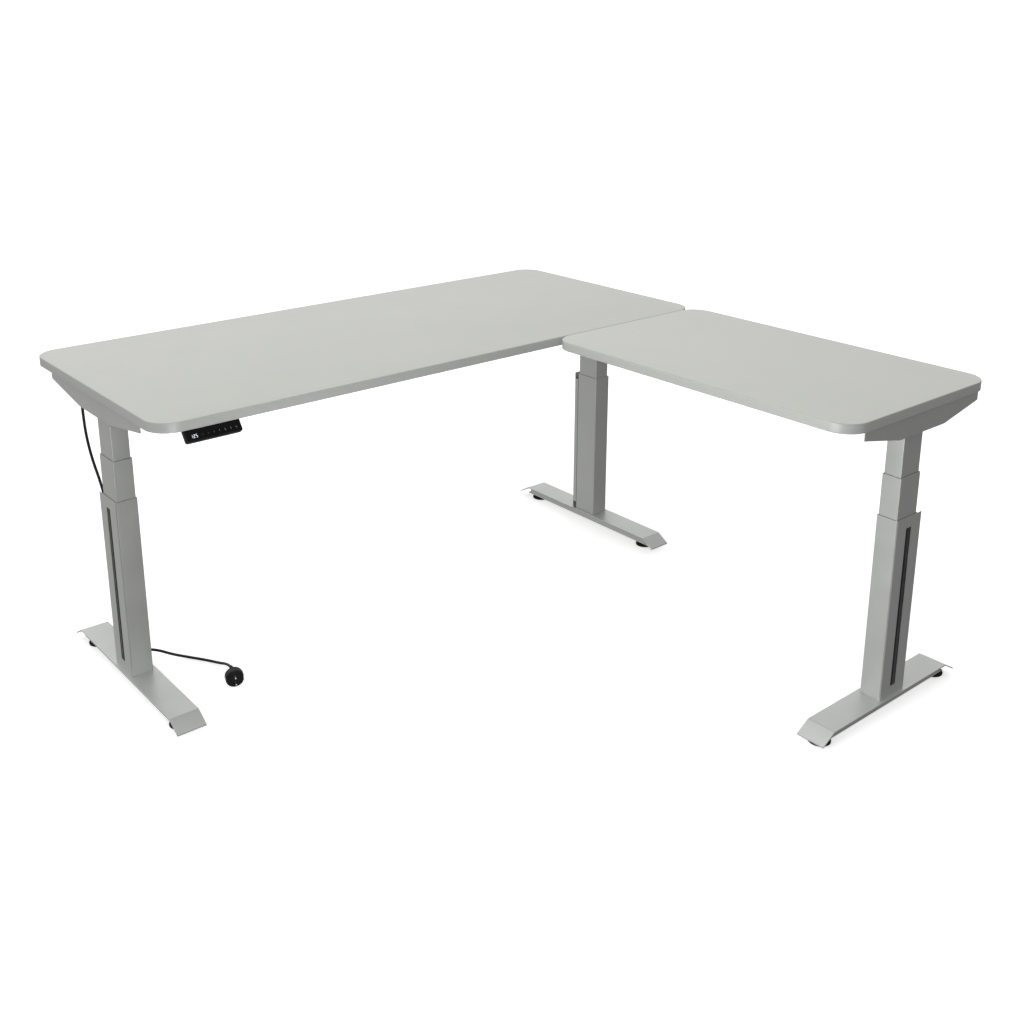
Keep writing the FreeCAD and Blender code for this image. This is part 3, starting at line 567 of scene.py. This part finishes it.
def plug_contacts(place):
    """Two round pins with rounded tips."""
    arcs = 6
    pins = Piece("plug_contacts", "base", "pin")
    tip = [(PIN_RADIUS * math.sin(math.pi / 2 * step / arcs),
            -PIN_LONG + PIN_ROUND * (1 - math.cos(math.pi / 2 * step / arcs)))
           for step in range(1, arcs + 1)]
    for sign in (-1, 1):
        pins.lathe([(0.0001, -PIN_LONG)] + tip + PIN_FOOT,
                   place @ Matrix.Translation((0, sign * PIN_GAP / 2, 0)), 0, PIN_STEPS)
    return pins.finish(("plug_pins",))


def plug_relief(place):
    """A tapering sleeve with a groove after each rib."""
    start = PLUG_FRONT + PLUG_BACK
    rings = [(PLUG_NECK, start - RELIEF_SETBACK), (PLUG_NECK, start + RELIEF_SETBACK)]
    for index in range(RELIEF_RIBS):
        for share, pull in ((0.15, 0.0), (0.55, 0.0), (0.65, RELIEF_GROOVE), (0.95, RELIEF_GROOVE)):
            along = (index + share) / RELIEF_RIBS
            radius = PLUG_NECK + (RELIEF_END - PLUG_NECK) * along
            rings.append((radius - pull * (1 - 0.5 * along),
                          start + RELIEF_SETBACK + (RELIEF_LONG - 2 * RELIEF_SETBACK) * along))
    rings += [(RELIEF_END, start + RELIEF_LONG - 0.0008), (RELIEF_END - 0.0006, start + RELIEF_LONG)]
    relief = Piece("plug_strain_relief", "base", "black_plastic")
    relief.lathe(rings, place)
    return relief.finish(("plug_relief",))


def plug():
    """The pieces of the plug, in one frame."""
    place = plug_place()
    return [plug_shell(place), plug_contacts(place), plug_relief(place)]


# ---------------------------------------------------------------- worktops
TOP_EDGE = 0.0019
LOW_EDGE = 0.0012
CORE_EDGE = 0.00025
CORE_CORNER = 0.063
BANDING_WALL = 0.002
BANDING_HAIR = 0.00005
BANDING_INSET = 0.0002
CORNER_STEPS = 32


def worktops():
    """Two boards with rounded edging, and the fine joint where core and edging meet."""
    edging = Piece("edge_banding_strips", "top", "banding")
    wall = Vector((BANDING_WALL, BANDING_WALL, 0))
    hair = Vector((BANDING_HAIR, BANDING_HAIR, 0))
    for name, node in (("main_worktop_board", "main_board"), ("return_worktop_board", "return_board")):
        low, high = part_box(node)
        board = Piece(name, "top", "worktop")
        board.shell(slab_rings(low, high, CORE_CORNER, CORE_EDGE, CORE_EDGE, CORNER_STEPS))
        board.finish((node,))
        rings = slab_rings(low - wall, high + wall, CORE_CORNER + BANDING_WALL, LOW_EDGE, TOP_EDGE,
                           CORNER_STEPS)
        inner = [rounded_outline(low - hair, high + hair, CORE_CORNER + BANDING_HAIR, height, CORNER_STEPS)
                 for height in (high[2] - BANDING_INSET, low[2] + BANDING_INSET)]
        edging.shell(rings + inner, loop=True)
    edging.finish(("edge_banding",))


# ---------------------------------------------------------------- legs
# (stage, body, wall thickness, corner radius)
STAGES = (("outer", "base", 0.0015, 0.0035), ("mid", "middle_stage", 0.002, 0.003),
          ("inner", "top", 0.002, 0.0025))
RIM_EASE = 0.0004
GLIDE_GAP = 0.00025
GLIDE_EASE = 0.0003
GLIDE_DEPTH = 0.012
GLIDE_CORNER = 0.0025


def tube_rings(low, high, wall, radius):
    """A closed loop of rings over a tube of rounded rectangular section with eased rims."""
    ease = RIM_EASE
    rings = []
    for inset, height in ((ease, low[2]), (0, low[2] + ease), (0, high[2] - ease), (ease, high[2]),
                          (wall - ease, high[2]), (wall, high[2] - ease), (wall, low[2] + ease),
                          (wall - ease, low[2])):
        rings.append(rounded_outline((low[0] + inset, low[1] + inset), (high[0] - inset, high[1] - inset),
                                     max(radius - inset, 0.0005), height, 10))
    return rings


def leg_tubes():
    """The three nested tubes of each leg."""
    for leg in LEGS:
        for stage, body, wall, radius in STAGES:
            node = f"{stage}_tube_{leg}"
            low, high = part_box(node)
            piece = Piece(f"{stage}_column_{leg}", body, "frame")
            piece.shell(tube_rings(low, high, wall, radius), loop=True)
            piece.finish((node,))


def glide_lips():
    """The dark rims of the nylon glides, just below the rims of the outer and middle tubes."""
    for (stage, body, wall, _), (within, _, _, _) in zip(STAGES, STAGES[1:]):
        lips = Piece(f"{stage}_glide_lips", body, "glide")
        for leg in LEGS:
            low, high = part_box(f"{stage}_tube_{leg}")
            within_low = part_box(f"{within}_tube_{leg}")[0]
            outer = wall + GLIDE_GAP
            inner = min(within_low[0] - low[0], within_low[1] - low[1]) - GLIDE_GAP
            foot = high[2] - GLIDE_DEPTH
            top = high[2] - GLIDE_EASE
            rings = []
            for inset, height in ((inner, foot), (outer, foot), (outer, top - GLIDE_EASE),
                                  (outer + GLIDE_EASE, top), (inner, top)):
                rings.append(rounded_outline((low[0] + inset, low[1] + inset),
                                             (high[0] - inset, high[1] - inset), GLIDE_CORNER, height, 8))
            lips.shell(rings, loop=True)
        lips.finish()


def bend_path(corners, radius, steps=6):
    """A flat path with its corners rounded: (along, height) pairs."""
    points = [Vector(corners[0])]
    for before, corner, after in zip(corners, corners[1:], corners[2:]):
        corner = Vector(corner)
        back = (Vector(before) - corner).normalized()
        ahead = (Vector(after) - corner).normalized()
        half = back.angle(ahead) / 2
        reach = radius / math.tan(half)
        start, end = corner + back * reach, corner + ahead * reach
        centre = corner + (back + ahead).normalized() * (radius / math.sin(half))
        first = (start - centre).angle_signed(end - centre)
        for step in range(steps + 1):
            turn = -first * step / steps
            spoke = start - centre
            points.append(centre + Vector((spoke.x * math.cos(turn) - spoke.y * math.sin(turn),
                                           spoke.x * math.sin(turn) + spoke.y * math.cos(turn))))
    points.append(Vector(corners[-1]))
    return points


def foot_plates():
    """Folded foot plates: a flat top, a soft bend and a sloping flap at each end."""
    sheet, drop, flap, bend, inner_bend, ease = 0.0035, 0.025, 0.042, 0.006, 0.004, 0.0006
    for leg in LEGS:
        node = f"foot_plate_{leg}"
        low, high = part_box(node)
        axis = long_axis(low, high)
        middle = (low + high) / 2
        half = (high[axis] - low[axis]) / 2
        flat = half - flap
        wide = (high[1 - axis] - low[1 - axis]) / 2
        top = high[2]
        upper = bend_path([(-half, top - drop), (-flat, top), (flat, top), (half, top - drop)], bend)
        lower = bend_path([(half, top - drop - sheet), (flat, top - sheet), (-flat, top - sheet),
                           (-half, top - drop - sheet)], inner_bend)
        outline = upper + lower
        rings = []
        for side, inset in ((-wide, ease), (-wide + ease, 0.0), (wide - ease, 0.0), (wide, ease)):
            ring = []
            for index, point in enumerate(outline):
                down = -inset if index < len(upper) else inset
                at = [0.0, 0.0, point.y + down]
                at[axis] = middle[axis] + max(-half + inset, min(half - inset, point.x))
                at[1 - axis] = middle[1 - axis] + side
                ring.append(Vector(at))
            rings.append(ring)
        piece = Piece(f"foot_{leg}", "base", "frame")
        piece.shell(rings)
        piece.finish((node,), smooth=40)


PAD_RIBS = 30
PAD_RIB_DEPTH = 0.018
# (distance in from the pad's rim, height) pairs up to the top of the pad
PAD_PROFILE = ((0.0014, 0.0), (0.0002, 0.0010), (0, 0.0018), (0, 0.0032), (0, 0.0044), (0.0006, 0.0052),
               (0.0050, 0.0072), (0.0075, 0.0086), (0.0095, 0.0090))
PAD_TOP = (0.0095, 0.0090)
HEXAGON = [(0.0078, 0.0088), (0.0078, 0.0129), (0.0072, 0.0133), (0.0052, 0.0133)]
THREAD_START = 0.0136
THREAD_PITCH = 0.00125
THREAD_ROOT = 0.0043
THREAD_CREST = 0.0049


def pad_ribs(angle, height):
    """Fine ribs round the rim of a pad."""
    return 1 - (PAD_RIB_DEPTH * (0.5 - 0.5 * math.cos(PAD_RIBS * angle)) if 0.0015 < height < 0.0050 else 0)


def thread_profile(top):
    """The half section of a threaded stud, with each turn drawn as a ring."""
    thread = [(0.0042, 0.0090)]
    for index in range(int((top - THREAD_START) / THREAD_PITCH)):
        base = THREAD_START + index * THREAD_PITCH
        thread += [(THREAD_ROOT, base), (THREAD_CREST, base + 0.35 * THREAD_PITCH),
                   (THREAD_CREST, base + 0.55 * THREAD_PITCH), (THREAD_ROOT, base + 0.9 * THREAD_PITCH)]
    return thread + [(0.0040, top)]


def levelling_feet():
    """Levelling feet: a ribbed pad, a hexagon to turn it by and a threaded stud."""
    for node in sorted(NODES):
        if not node.startswith("leveller_"):
            continue
        low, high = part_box(node)
        middle = (low + high) / 2
        radius = (high[0] - low[0]) / 2
        place = Matrix.Translation((middle[0], middle[1], 0))
        piece = Piece(node + "_foot", node, "black_plastic", "steel")
        pad = [(radius - inset, height) for inset, height in PAD_PROFILE]
        piece.lathe(pad + [PAD_TOP], place, 0, 120, pad_ribs)
        piece.lathe(HEXAGON, place, 1, 6)
        piece.lathe(thread_profile(high[2]), place, 1, 24)
        piece.finish((node,))


# ---------------------------------------------------------------- handset
PANEL_THICK = 0.0015
FACE_SLOPE = math.atan2(24, 18)
SEGMENTS = {"a": ((0, 2), (1, 2)), "b": ((1, 2), (1, 1)), "c": ((1, 1), (1, 0)), "d": ((0, 0), (1, 0)),
            "e": ((0, 1), (0, 0)), "f": ((0, 2), (0, 1)), "g": ((0, 1), (1, 1))}
DIGITS = ("bc", "abged", "afgcd")
DIGIT_WIDE = 0.0030
DIGIT_HALF_HIGH = 0.0038
DIGIT_PITCH = 0.0062
DIGIT_FIRST = 0.0114
DIGIT_FOOT = 0.0064
DIGIT_STROKE = 0.0008
DIGIT_PROUD = 0.00012
SEGMENT_GAP = 0.0004
SIGN_LINE = 0.0100
SIGN_STROKE = 0.00075
SIGN_PROUD = 0.00006
KEY_PROUD = 0.0003
RIM_WIDE = 0.0009
RIM_PROUD = 0.0004
CHEVRON_DOWN = ((0.0, 1.0), (0.5, 0.5), (1.0, 1.0))
CHEVRON_UP = ((0.0, 0.5), (0.5, 1.0), (1.0, 0.5))
RING = tuple((0.5 + 0.45 * math.cos(math.radians(angle)), 0.8 + 0.45 * math.sin(math.radians(angle)))
             for angle in range(0, 361, 30))
NUMERALS = (
    ((0.25, 1.3), (0.55, 1.6), (0.55, 0.0)),
    ((0.05, 1.3), (0.3, 1.6), (0.75, 1.6), (0.95, 1.3), (0.9, 1.0), (0.05, 0.0), (1.0, 0.0)),
    ((0.05, 1.45), (0.45, 1.6), (0.9, 1.4), (0.85, 1.0), (0.45, 0.85), (0.95, 0.6), (0.9, 0.2), (0.45, 0.0),
     (0.05, 0.15)),
    ((0.75, 0.0), (0.75, 1.6), (0.0, 0.5), (1.0, 0.5)),
)


def panel_place():
    """The frame of the sloping face: x along it, y up it from its lower edge, z out of it."""
    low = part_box("display_panel")[0]
    foot = (0, low[1], low[2] + PANEL_THICK * math.cos(FACE_SLOPE))
    return Matrix.Translation(foot) @ Matrix.Rotation(FACE_SLOPE, 4, "X")


def bar(piece, place, start, end, width, height, look=0):
    """A thin raised stroke between two points of the face."""
    start, end = Vector(start), Vector(end)
    run = end - start
    turn = Matrix.Rotation(math.atan2(run.y, run.x), 4, "Z")
    at = place @ Matrix.Translation((start.x, start.y, 0)) @ turn
    piece.block((-width / 2, -width / 2, 0), (run.length + width / 2, width / 2, height),
                width * 0.2, look, at, 1)


def strokes(piece, place, line, corner, size, width, height):
    """A stroked sign: a line of points in a unit frame laid out from its lower left corner."""
    points = [(corner[0] + size * x, corner[1] + size * y) for x, y in line]
    for start, end in zip(points, points[1:]):
        bar(piece, place, start, end, width, height)


def display_digits(place, edge):
    """The lit segments of the three digits."""
    digits = Piece("display_digits", "top", "lit")
    for index, lit in enumerate(DIGITS):
        left = edge + DIGIT_FIRST + index * DIGIT_PITCH
        for name in lit:
            start, end = (Vector((left + x * DIGIT_WIDE, DIGIT_FOOT + y * DIGIT_HALF_HIGH))
                          for x, y in SEGMENTS[name])
            along = (end - start).normalized() * SEGMENT_GAP
            bar(digits, place, start + along, end - along, DIGIT_STROKE, DIGIT_PROUD)
    digits.finish()


def key_signs(place):
    """The sign printed on each key: two chevrons, a ring and four numerals."""
    proud = place @ Matrix.Translation((0, 0, KEY_PROUD))
    for number, sign in enumerate((CHEVRON_DOWN, CHEVRON_UP, RING) + NUMERALS):
        node = f"key_{number + 1}"
        key_low, key_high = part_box(node)
        look, size = ("print_dim", 0.0030) if number < 3 else ("print_bright", 0.0026)
        corner = ((key_low[0] + key_high[0]) / 2 - size / 2, SIGN_LINE - 0.8 * size)
        piece = Piece(f"{node}_sign", node, look)
        strokes(piece, proud, sign, corner, size, SIGN_STROKE, SIGN_PROUD)
        piece.finish()


def display_rim(place, low, high):
    """A raised rim round the glossy face."""
    rim = Piece("display_rim", "top", "black_plastic")
    up = (high[2] - low[2] - PANEL_THICK * math.cos(FACE_SLOPE)) / math.sin(FACE_SLOPE)
    for start, end in (((low[0], 0), (high[0], 0)), ((low[0], up), (high[0], up)),
                       ((low[0], 0), (low[0], up)), ((high[0], 0), (high[0], up))):
        bar(rim, place, start, end, RIM_WIDE, RIM_PROUD)
    rim.finish()


def handset_tabs():
    """Two tabs behind the case, each with a screw up into the board."""
    low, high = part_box("handset_housing")
    inset, half_wide, back, front, ease = 0.012, 0.007, 0.012, 0.008, 0.0006
    screw_at = high[1] + 0.006
    places = (low[0] + inset, high[0] - inset)
    screws = Piece("handset_screws", "top", "steel")
    for x in places:
        screw(screws, (x, screw_at, high[2]), DOWN, 0.0030)
    screws.finish()
    tabs = Piece("handset_tabs", "top", "black_plastic")
    for x in places:
        tabs.block((x - half_wide, high[1] - front, high[2] - 0.0030),
                   (x + half_wide, high[1] + back, high[2] - 0.0002), ease)
    tabs.finish()


def handset():
    """What the CAD's handset doesn't show: digits, signs, a rim and the tabs that hold the case."""
    place = panel_place()
    low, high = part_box("display_panel")
    display_digits(place, low[0])
    key_signs(place)
    display_rim(place, low, high)
    handset_tabs()


# ---------------------------------------------------------------- fixings
DOWN = (0, 0, -1)
ARM_SHEET = 0.0025
ARM_SCREW_SIDE = 0.026
RAIL_Y = (0.440, 0.560)
RAIL_OFFSET = 0.060
PLATE = (0.003, 0.024)
PLATE_SCREW_SIDE = 0.017
FOOT_BOLT_HEIGHT = 0.014


def screw(piece, at, out, radius, look=0):
    """A pan head screw with a hexagon socket, its head standing out of a face."""
    place = Matrix.Translation(at) @ Vector(out).to_track_quat("Z", "Y").to_matrix().to_4x4()
    tall = radius * 0.75
    piece.lathe([(radius * 0.98, -0.0004), (radius, tall * 0.25), (radius * 0.94, tall * 0.65),
                 (radius * 0.78, tall * 0.93), (radius * 0.56, tall)], place, look, 24)
    piece.lathe([(radius * 0.52, tall * 0.4), (radius * 0.52, tall + 0.00004),
                 (radius * 0.48, tall + 0.00008), (radius * 0.40, tall * 0.5)], place, look, 6)


def screw_grid(piece, middle, axis, alongs, acrosses, height, radius):
    """Screws that point down, in rows along and across an axis about a middle."""
    for along in alongs:
        for across in acrosses:
            at = [0, 0, height]
            at[axis] = middle[axis] + along
            at[1 - axis] = middle[1 - axis] + across
            screw(piece, at, DOWN, radius)
    piece.finish()


def arm_fixings():
    """Screws through each arm's web into the board above it, seen from below."""
    for leg in LEGS:
        low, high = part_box(f"arm_{leg}")
        axis = long_axis(low, high)
        half = (high[axis] - low[axis]) / 2
        screw_grid(Piece(f"arm_screws_{leg}", "top", "steel"), (low + high) / 2, axis,
                   [share * half for share in (-0.88, -0.55, 0.55, 0.88)],
                   (-ARM_SCREW_SIDE, ARM_SCREW_SIDE), high[2] - ARM_SHEET, 0.0042)


def rail_brackets():
    """End plates that bolt the rails to the arms, and the bolts of the corner bracket."""
    plates = Piece("rail_end_brackets", "top", "frame", "steel")
    bracket_low, bracket_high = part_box("corner_bracket")
    rail_low, rail_high = bracket_high[2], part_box("cross_rails")[1][2]
    thick, half = PLATE
    rows = [((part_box("arm_left")[1][0], y), (1, 0)) for y in RAIL_Y]
    rows += [((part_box("arm_corner")[0][0], y), (-1, 0)) for y in RAIL_Y]
    low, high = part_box("arm_return")
    centre = (low[0] + high[0]) / 2
    rail_x = (centre - RAIL_OFFSET, centre + RAIL_OFFSET)
    rows += [((x, high[1]), (0, 1)) for x in rail_x]
    for (x, y), (dx, dy) in rows:
        at, along, across = Vector((x, y, 0)), Vector((dx, dy, 0)), Vector((dy, dx, 0))
        corners = (at - across * half + Vector((0, 0, rail_low + 0.002)),
                   at + along * thick + across * half + Vector((0, 0, rail_high)))
        plates.block([min(pair) for pair in zip(*corners)], [max(pair) for pair in zip(*corners)], 0.0007)
        for side in (-PLATE_SCREW_SIDE, PLATE_SCREW_SIDE):
            screw(plates, at + along * thick + across * side + Vector((0, 0, (rail_low + rail_high) / 2)),
                  along, 0.0045, 1)
    plates.finish()
    bolts = Piece("corner_bracket_bolts", "top", "steel")
    for x in rail_x:
        for share in (0.15, 0.42, 0.88):
            y = bracket_low[1] + share * (bracket_high[1] - bracket_low[1])
            screw(bolts, (x, y, bracket_low[2]), DOWN, 0.0050)
    bolts.finish()


def foot_bolts():
    """Four bolts hold each leg to its foot, with their heads under it."""
    for leg in LEGS:
        low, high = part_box(f"outer_tube_{leg}")
        screw_grid(Piece(f"foot_bolts_{leg}", "base", "steel"), (low + high) / 2,
                   long_axis(*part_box(f"foot_plate_{leg}")), (-0.030, 0.030), (-0.016, 0.016),
                   FOOT_BOLT_HEIGHT, 0.0050)


# ---------------------------------------------------------------- parts under the tops
def control_box():
    """A moulded case with a lid line, vent slots, screws, sockets and an indicator."""
    low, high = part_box("control_box")
    middle = (low + high) / 2
    case = Piece("control_box_case", "top", "black_plastic", "steel", "lit")
    split, gap, set_in, corner = low[2] + 0.62 * (high[2] - low[2]), 0.0005, 0.0008, 0.006
    inset = Vector((set_in, set_in, 0))
    case.shell(slab_rings(low, Vector((*high.xy, split - gap)), corner, 0.0025, 0.0004, 8))
    case.shell(slab_rings(Vector((*low.xy, split - 0.0006)) + inset,
                          Vector((*high.xy, split + 0.0006)) - inset, 0.0055, 0.0001, 0.0001, 8))
    case.shell(slab_rings(Vector((*low.xy, split + gap)), high, corner, 0.0004, 0.0006, 8))
    half, long, first, pitch = 0.0018, 0.026, -0.065, 0.010
    for index in range(14):
        x = middle[0] + first + index * pitch
        case.block((x - half, middle[1] - long, low[2] - 0.0005),
                   (x + half, middle[1] + long, low[2] + 0.0006), 0.0004)
    for x in (low[0] + 0.010, high[0] - 0.010):
        for y in (low[1] + 0.010, high[1] - 0.010):
            screw(case, (x, y, low[2] + 0.0002), DOWN, 0.0032, 1)
    first, pitch = 0.022, 0.030
    for index in range(4):
        x = low[0] + first + index * pitch
        for side, out, back, ease in ((0.0, 0.0012, 0.0010, 0.0006), (0.002, 0.0016, -0.0008, 0.0003)):
            case.block((x + side, low[1] - out, low[2] + 0.010 + side),
                       (x + 0.016 - side, low[1] + back, low[2] + 0.022 - side), ease)
    case.lathe([(0.0014, 0.0), (0.0014, 0.0005), (0.0008, 0.0009)],
               Matrix.Translation((high[0] - 0.030, middle[1], low[2] - 0.0001))
               @ Matrix.Rotation(math.pi, 4, "X"), 2, 16)
    case.finish(("control_box",))


MOTOR_RADIUS = 0.0205
MOTOR_LONG = 0.110
MOTOR_FINS = 6


def motor_profile():
    """The half section of a motor can: a flange, cooling fins, a smooth barrel and an end cap."""
    can = [(0.0150, 0.0), (0.0175, 0.002), (MOTOR_RADIUS, 0.004)]
    for index in range(MOTOR_FINS):
        start = 0.006 + index * 0.0045
        can += [(0.0208, start), (0.0192, start + 0.001), (0.0192, start + 0.0025), (0.0208, start + 0.0035)]
    return can + [(MOTOR_RADIUS, 0.036), (MOTOR_RADIUS, 0.096), (0.0209, 0.0975), (0.0209, 0.105),
                  (0.0195, 0.1078), (0.0080, 0.1080), (0.0075, 0.1095), (0.0040, MOTOR_LONG)]


def drive_units():
    """A cast gearbox with its cover screws and a ribbed motor can for each leg."""
    half_wide, half_long, screw_x, screw_y = 0.038, 0.042, 0.032, 0.036
    for leg in LEGS:
        low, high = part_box(f"inner_tube_{leg}")
        centre = (low + high) / 2
        place = Matrix.Translation((centre[0], centre[1], 0))
        if long_axis(low, high) == 0:
            place = place @ Matrix.Rotation(math.radians(-90), 4, "Z")
        base, top = high[2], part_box(f"arm_{leg}")[1][2] - ARM_SHEET
        unit = Piece(f"gearbox_{leg}", "top", "drive", "steel")
        rings = slab_rings(Vector((-half_wide, -half_long, base)), Vector((half_wide, half_long, top)),
                           0.006, 0.0012, 0.0012, 6)
        unit.shell([[place @ point for point in ring] for ring in rings])
        for x in (-screw_x, screw_x):
            for y in (-screw_y, screw_y):
                screw(unit, place @ Vector((x, y, base)), DOWN, 0.0030, 1)
        lying = (place @ Matrix.Translation((0, 0.040, (base + top) / 2 - 0.001))
                 @ Matrix.Rotation(math.radians(-90), 4, "X"))
        unit.lathe(motor_profile(), lying, 0, 48)
        for angle in (math.radians(45), math.radians(225)):
            at = Vector((0.0145 * math.cos(angle), 0.0145 * math.sin(angle), 0.1079))
            screw(unit, lying @ at, lying.to_3x3() @ Vector((0, 0, 1)), 0.0022, 1)
        unit.finish()


CLIP_X = (-0.720, -0.560, -0.400)
CLIP_HALF = 0.006
CLIP_WALL = 0.002
CLIP_EASE = 0.0005
CLIP_EAR = 0.011
CLIP_EAR_THICK = 0.0030
STRIP_FACE = 0.0295
STRIP_FOOT = 0.0703
STRIP_TOP = 0.5127


def lead_clips():
    """Moulded saddle clips round the mains lead, each with its screw."""
    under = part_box("main_board")[0][2]
    _, lead_y, lead_z = UNDER_TOP_ROUTE[0]
    clips = Piece("mains_lead_clips", "top", "black_plastic", "steel")
    bore, reach = LEAD_DIAMETER / 2 + 0.00005, LEAD_DIAMETER / 2 + CLIP_WALL

    def arch(radius, side):
        """(y, z) pairs from the board down one side, under the lead and up the other side."""
        turns = (math.pi * step / 12 for step in range(1, 12))
        bend = [(lead_y + side * radius * math.cos(turn), lead_z - radius * math.sin(turn)) for turn in turns]
        near, far = lead_y + side * radius, lead_y - side * radius
        return [(near, under), (near, lead_z)] + bend + [(far, lead_z), (far, under)]

    for x in CLIP_X:
        rings = []
        for along, inset in ((-CLIP_HALF, CLIP_EASE), (CLIP_EASE - CLIP_HALF, 0.0),
                             (CLIP_HALF - CLIP_EASE, 0.0), (CLIP_HALF, CLIP_EASE)):
            outline = arch(reach - inset, 1) + arch(bore + inset, -1)
            rings.append([Vector((x + along, y, z)) for y, z in outline])
        clips.shell(rings)
        edge = lead_y + reach
        clips.block((x - CLIP_HALF, edge - CLIP_EASE, under - CLIP_EAR_THICK),
                    (x + CLIP_HALF, edge + CLIP_EAR, under - 0.0001), 0.0006)
        screw(clips, (x, edge + CLIP_EAR / 2, under - CLIP_EAR_THICK), DOWN, 0.0030, 1)
    clips.finish(("lead_clips",))


def slot_strips():
    """The strip in each duct's slot: black, with a middle that stands out further and is drawn in the lighter
    nylon look as painted sheen.
    """
    strips = Piece("duct_slot_strips", "base", "black_plastic", "glide")
    for leg in LEGS:
        tube_low, tube_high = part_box(f"outer_tube_{leg}")
        centre = (tube_low + tube_high) / 2
        side = -1 if leg == "left" else 1
        turn = -90 if leg == "return" else 0
        place = Matrix.Translation((centre[0], centre[1], 0)) @ Matrix.Rotation(math.radians(turn), 4, "Z")
        # The second row's lighter nylon look is painted sheen where the raised middle catches the light.
        for y0, y1, reach, look in ((-0.0030, 0.0185, 0.0004, 0), (0.0025, 0.0130, 0.0009, 1)):
            near, far = sorted((side * STRIP_FACE, side * (STRIP_FACE + reach)))
            strips.block((near, y0, STRIP_FOOT), (far, y1, STRIP_TOP), 0.0003, look, place)
    strips.finish(("slot_strips",))


# ---------------------------------------------------------------- carried-over nodes
NODE_SLOTS = {row["node"]: row["material_slot"] for row in frame["record"]["subparts"]}


def paint_nodes():
    """Every CAD node that stays gets the procedural material of its slot."""
    for name, obj in NODES.items():
        obj.data.materials.clear()
        obj.data.materials.append(LOOKS[NODE_SLOTS[name]])
        obj.data.set_sharp_from_angle(angle=math.radians(32))


# ---------------------------------------------------------------- lights and stage
def world():
    """A soft studio surround that is lighter behind the desk and darker below the horizon."""
    scene_world = bpy.data.worlds.new("studio")
    scene_world.use_nodes = True
    tree = scene_world.node_tree
    background = tree.nodes["Background"]
    place = tree.nodes.new("ShaderNodeTexCoord").outputs["Generated"]
    split = tree.nodes.new("ShaderNodeSeparateXYZ")
    tree.links.new(place, split.inputs[0])
    parts = []
    for axis, (start, end, low, high) in (("Y", WORLD_ALONG), ("Z", WORLD_UP)):
        spread = tree.nodes.new("ShaderNodeMapRange")
        spread.interpolation_type = "SMOOTHSTEP"
        for key, value in {"From Min": start, "From Max": end, "To Min": low, "To Max": high}.items():
            spread.inputs[key].default_value = value
        tree.links.new(split.outputs[axis], spread.inputs["Value"])
        parts.append(spread.outputs["Result"])
    product = tree.nodes.new("ShaderNodeMath")
    product.operation = "MULTIPLY"
    tree.links.new(parts[0], product.inputs[0])
    tree.links.new(parts[1], product.inputs[1])
    tree.links.new(product.outputs[0], background.inputs["Strength"])
    background.inputs["Color"].default_value = (1.0, 1.0, 0.99, 1)
    bpy.context.scene.world = scene_world


def area_light(name, at, aim, size, power):
    data = bpy.data.lights.new(name, "AREA")
    data.shape = "RECTANGLE"
    data.size, data.size_y = size
    data.energy = power
    obj = bpy.data.objects.new(name, data)
    obj.location = at
    obj.rotation_euler = (Vector(aim) - Vector(at)).to_track_quat("-Z", "Y").to_euler()
    obj.visible_camera = False
    bpy.context.scene.collection.objects.link(obj)


def stage_material(name, colour, glow):
    material = bpy.data.materials.new(name)
    material.use_nodes = True
    surface = material.node_tree.nodes["Principled BSDF"]
    surface.inputs["Base Color"].default_value = (*colour, 1)
    surface.inputs["Roughness"].default_value = 0.9
    surface.inputs["Specular IOR Level"].default_value = 0.0
    surface.inputs["Emission Color"].default_value = (1, 1, 1, 1)
    surface.inputs["Emission Strength"].default_value = glow
    return material


def stage_piece(name, mesh, look):
    """An object that is only there for the camera, made from a mesh with one look."""
    data = bpy.data.meshes.new(name)
    mesh.to_mesh(data)
    mesh.free()
    data.materials.append(look)
    obj = bpy.data.objects.new(name, data)
    bpy.context.scene.collection.objects.link(obj)
    return obj


def stage():
    """A wide pale floor that shows the shadows, and a plain white surround. Neither lights the desk."""
    mesh = bmesh.new()
    bmesh.ops.create_circle(mesh, cap_ends=True, segments=96, radius=14)
    floor = stage_piece("floor", mesh, stage_material("pale_floor", (0.86, 0.86, 0.86), 0.55))
    floor.visible_glossy = False
    floor.visible_diffuse = False
    mesh = bmesh.new()
    bmesh.ops.create_uvsphere(mesh, u_segments=48, v_segments=24, radius=30)
    surround = stage_piece("surround", mesh, stage_material("white_surround", (0.8, 0.8, 0.8), 1.2))
    for ray in ("diffuse", "glossy", "transmission", "volume_scatter", "shadow"):
        setattr(surround, "visible_" + ray, False)


# (start, end, value at start, value at end) of the surround's brightness along Y and up Z
WORLD_ALONG = (-0.8, 0.8, 0.40, 1.06)
WORLD_UP = (-0.15, 0.15, 0.45, 1.05)


def lights():
    area_light("key", (-2.8, -3.4, 2.2), (0, 0, 0.5), (2.4, 2.0), 8)
    area_light("overhead", (-1.2, 0.6, 4.0), (0.1, 0.2, 0.6), (3.6, 3.0), 17)
    area_light("low_panel", (-1.05, -0.9, 0.50), (0.3, -0.5, 0.1), (0.9, 0.5), 13)


camera()
paint_nodes()
leads()
worktops()
leg_tubes()
glide_lips()
foot_plates()
levelling_feet()
handset()
arm_fixings()
rail_brackets()
foot_bolts()
control_box()
drive_units()
lead_clips()
slot_strips()
world()
lights()
stage()
bpy.context.scene.view_settings.view_transform = "Standard"
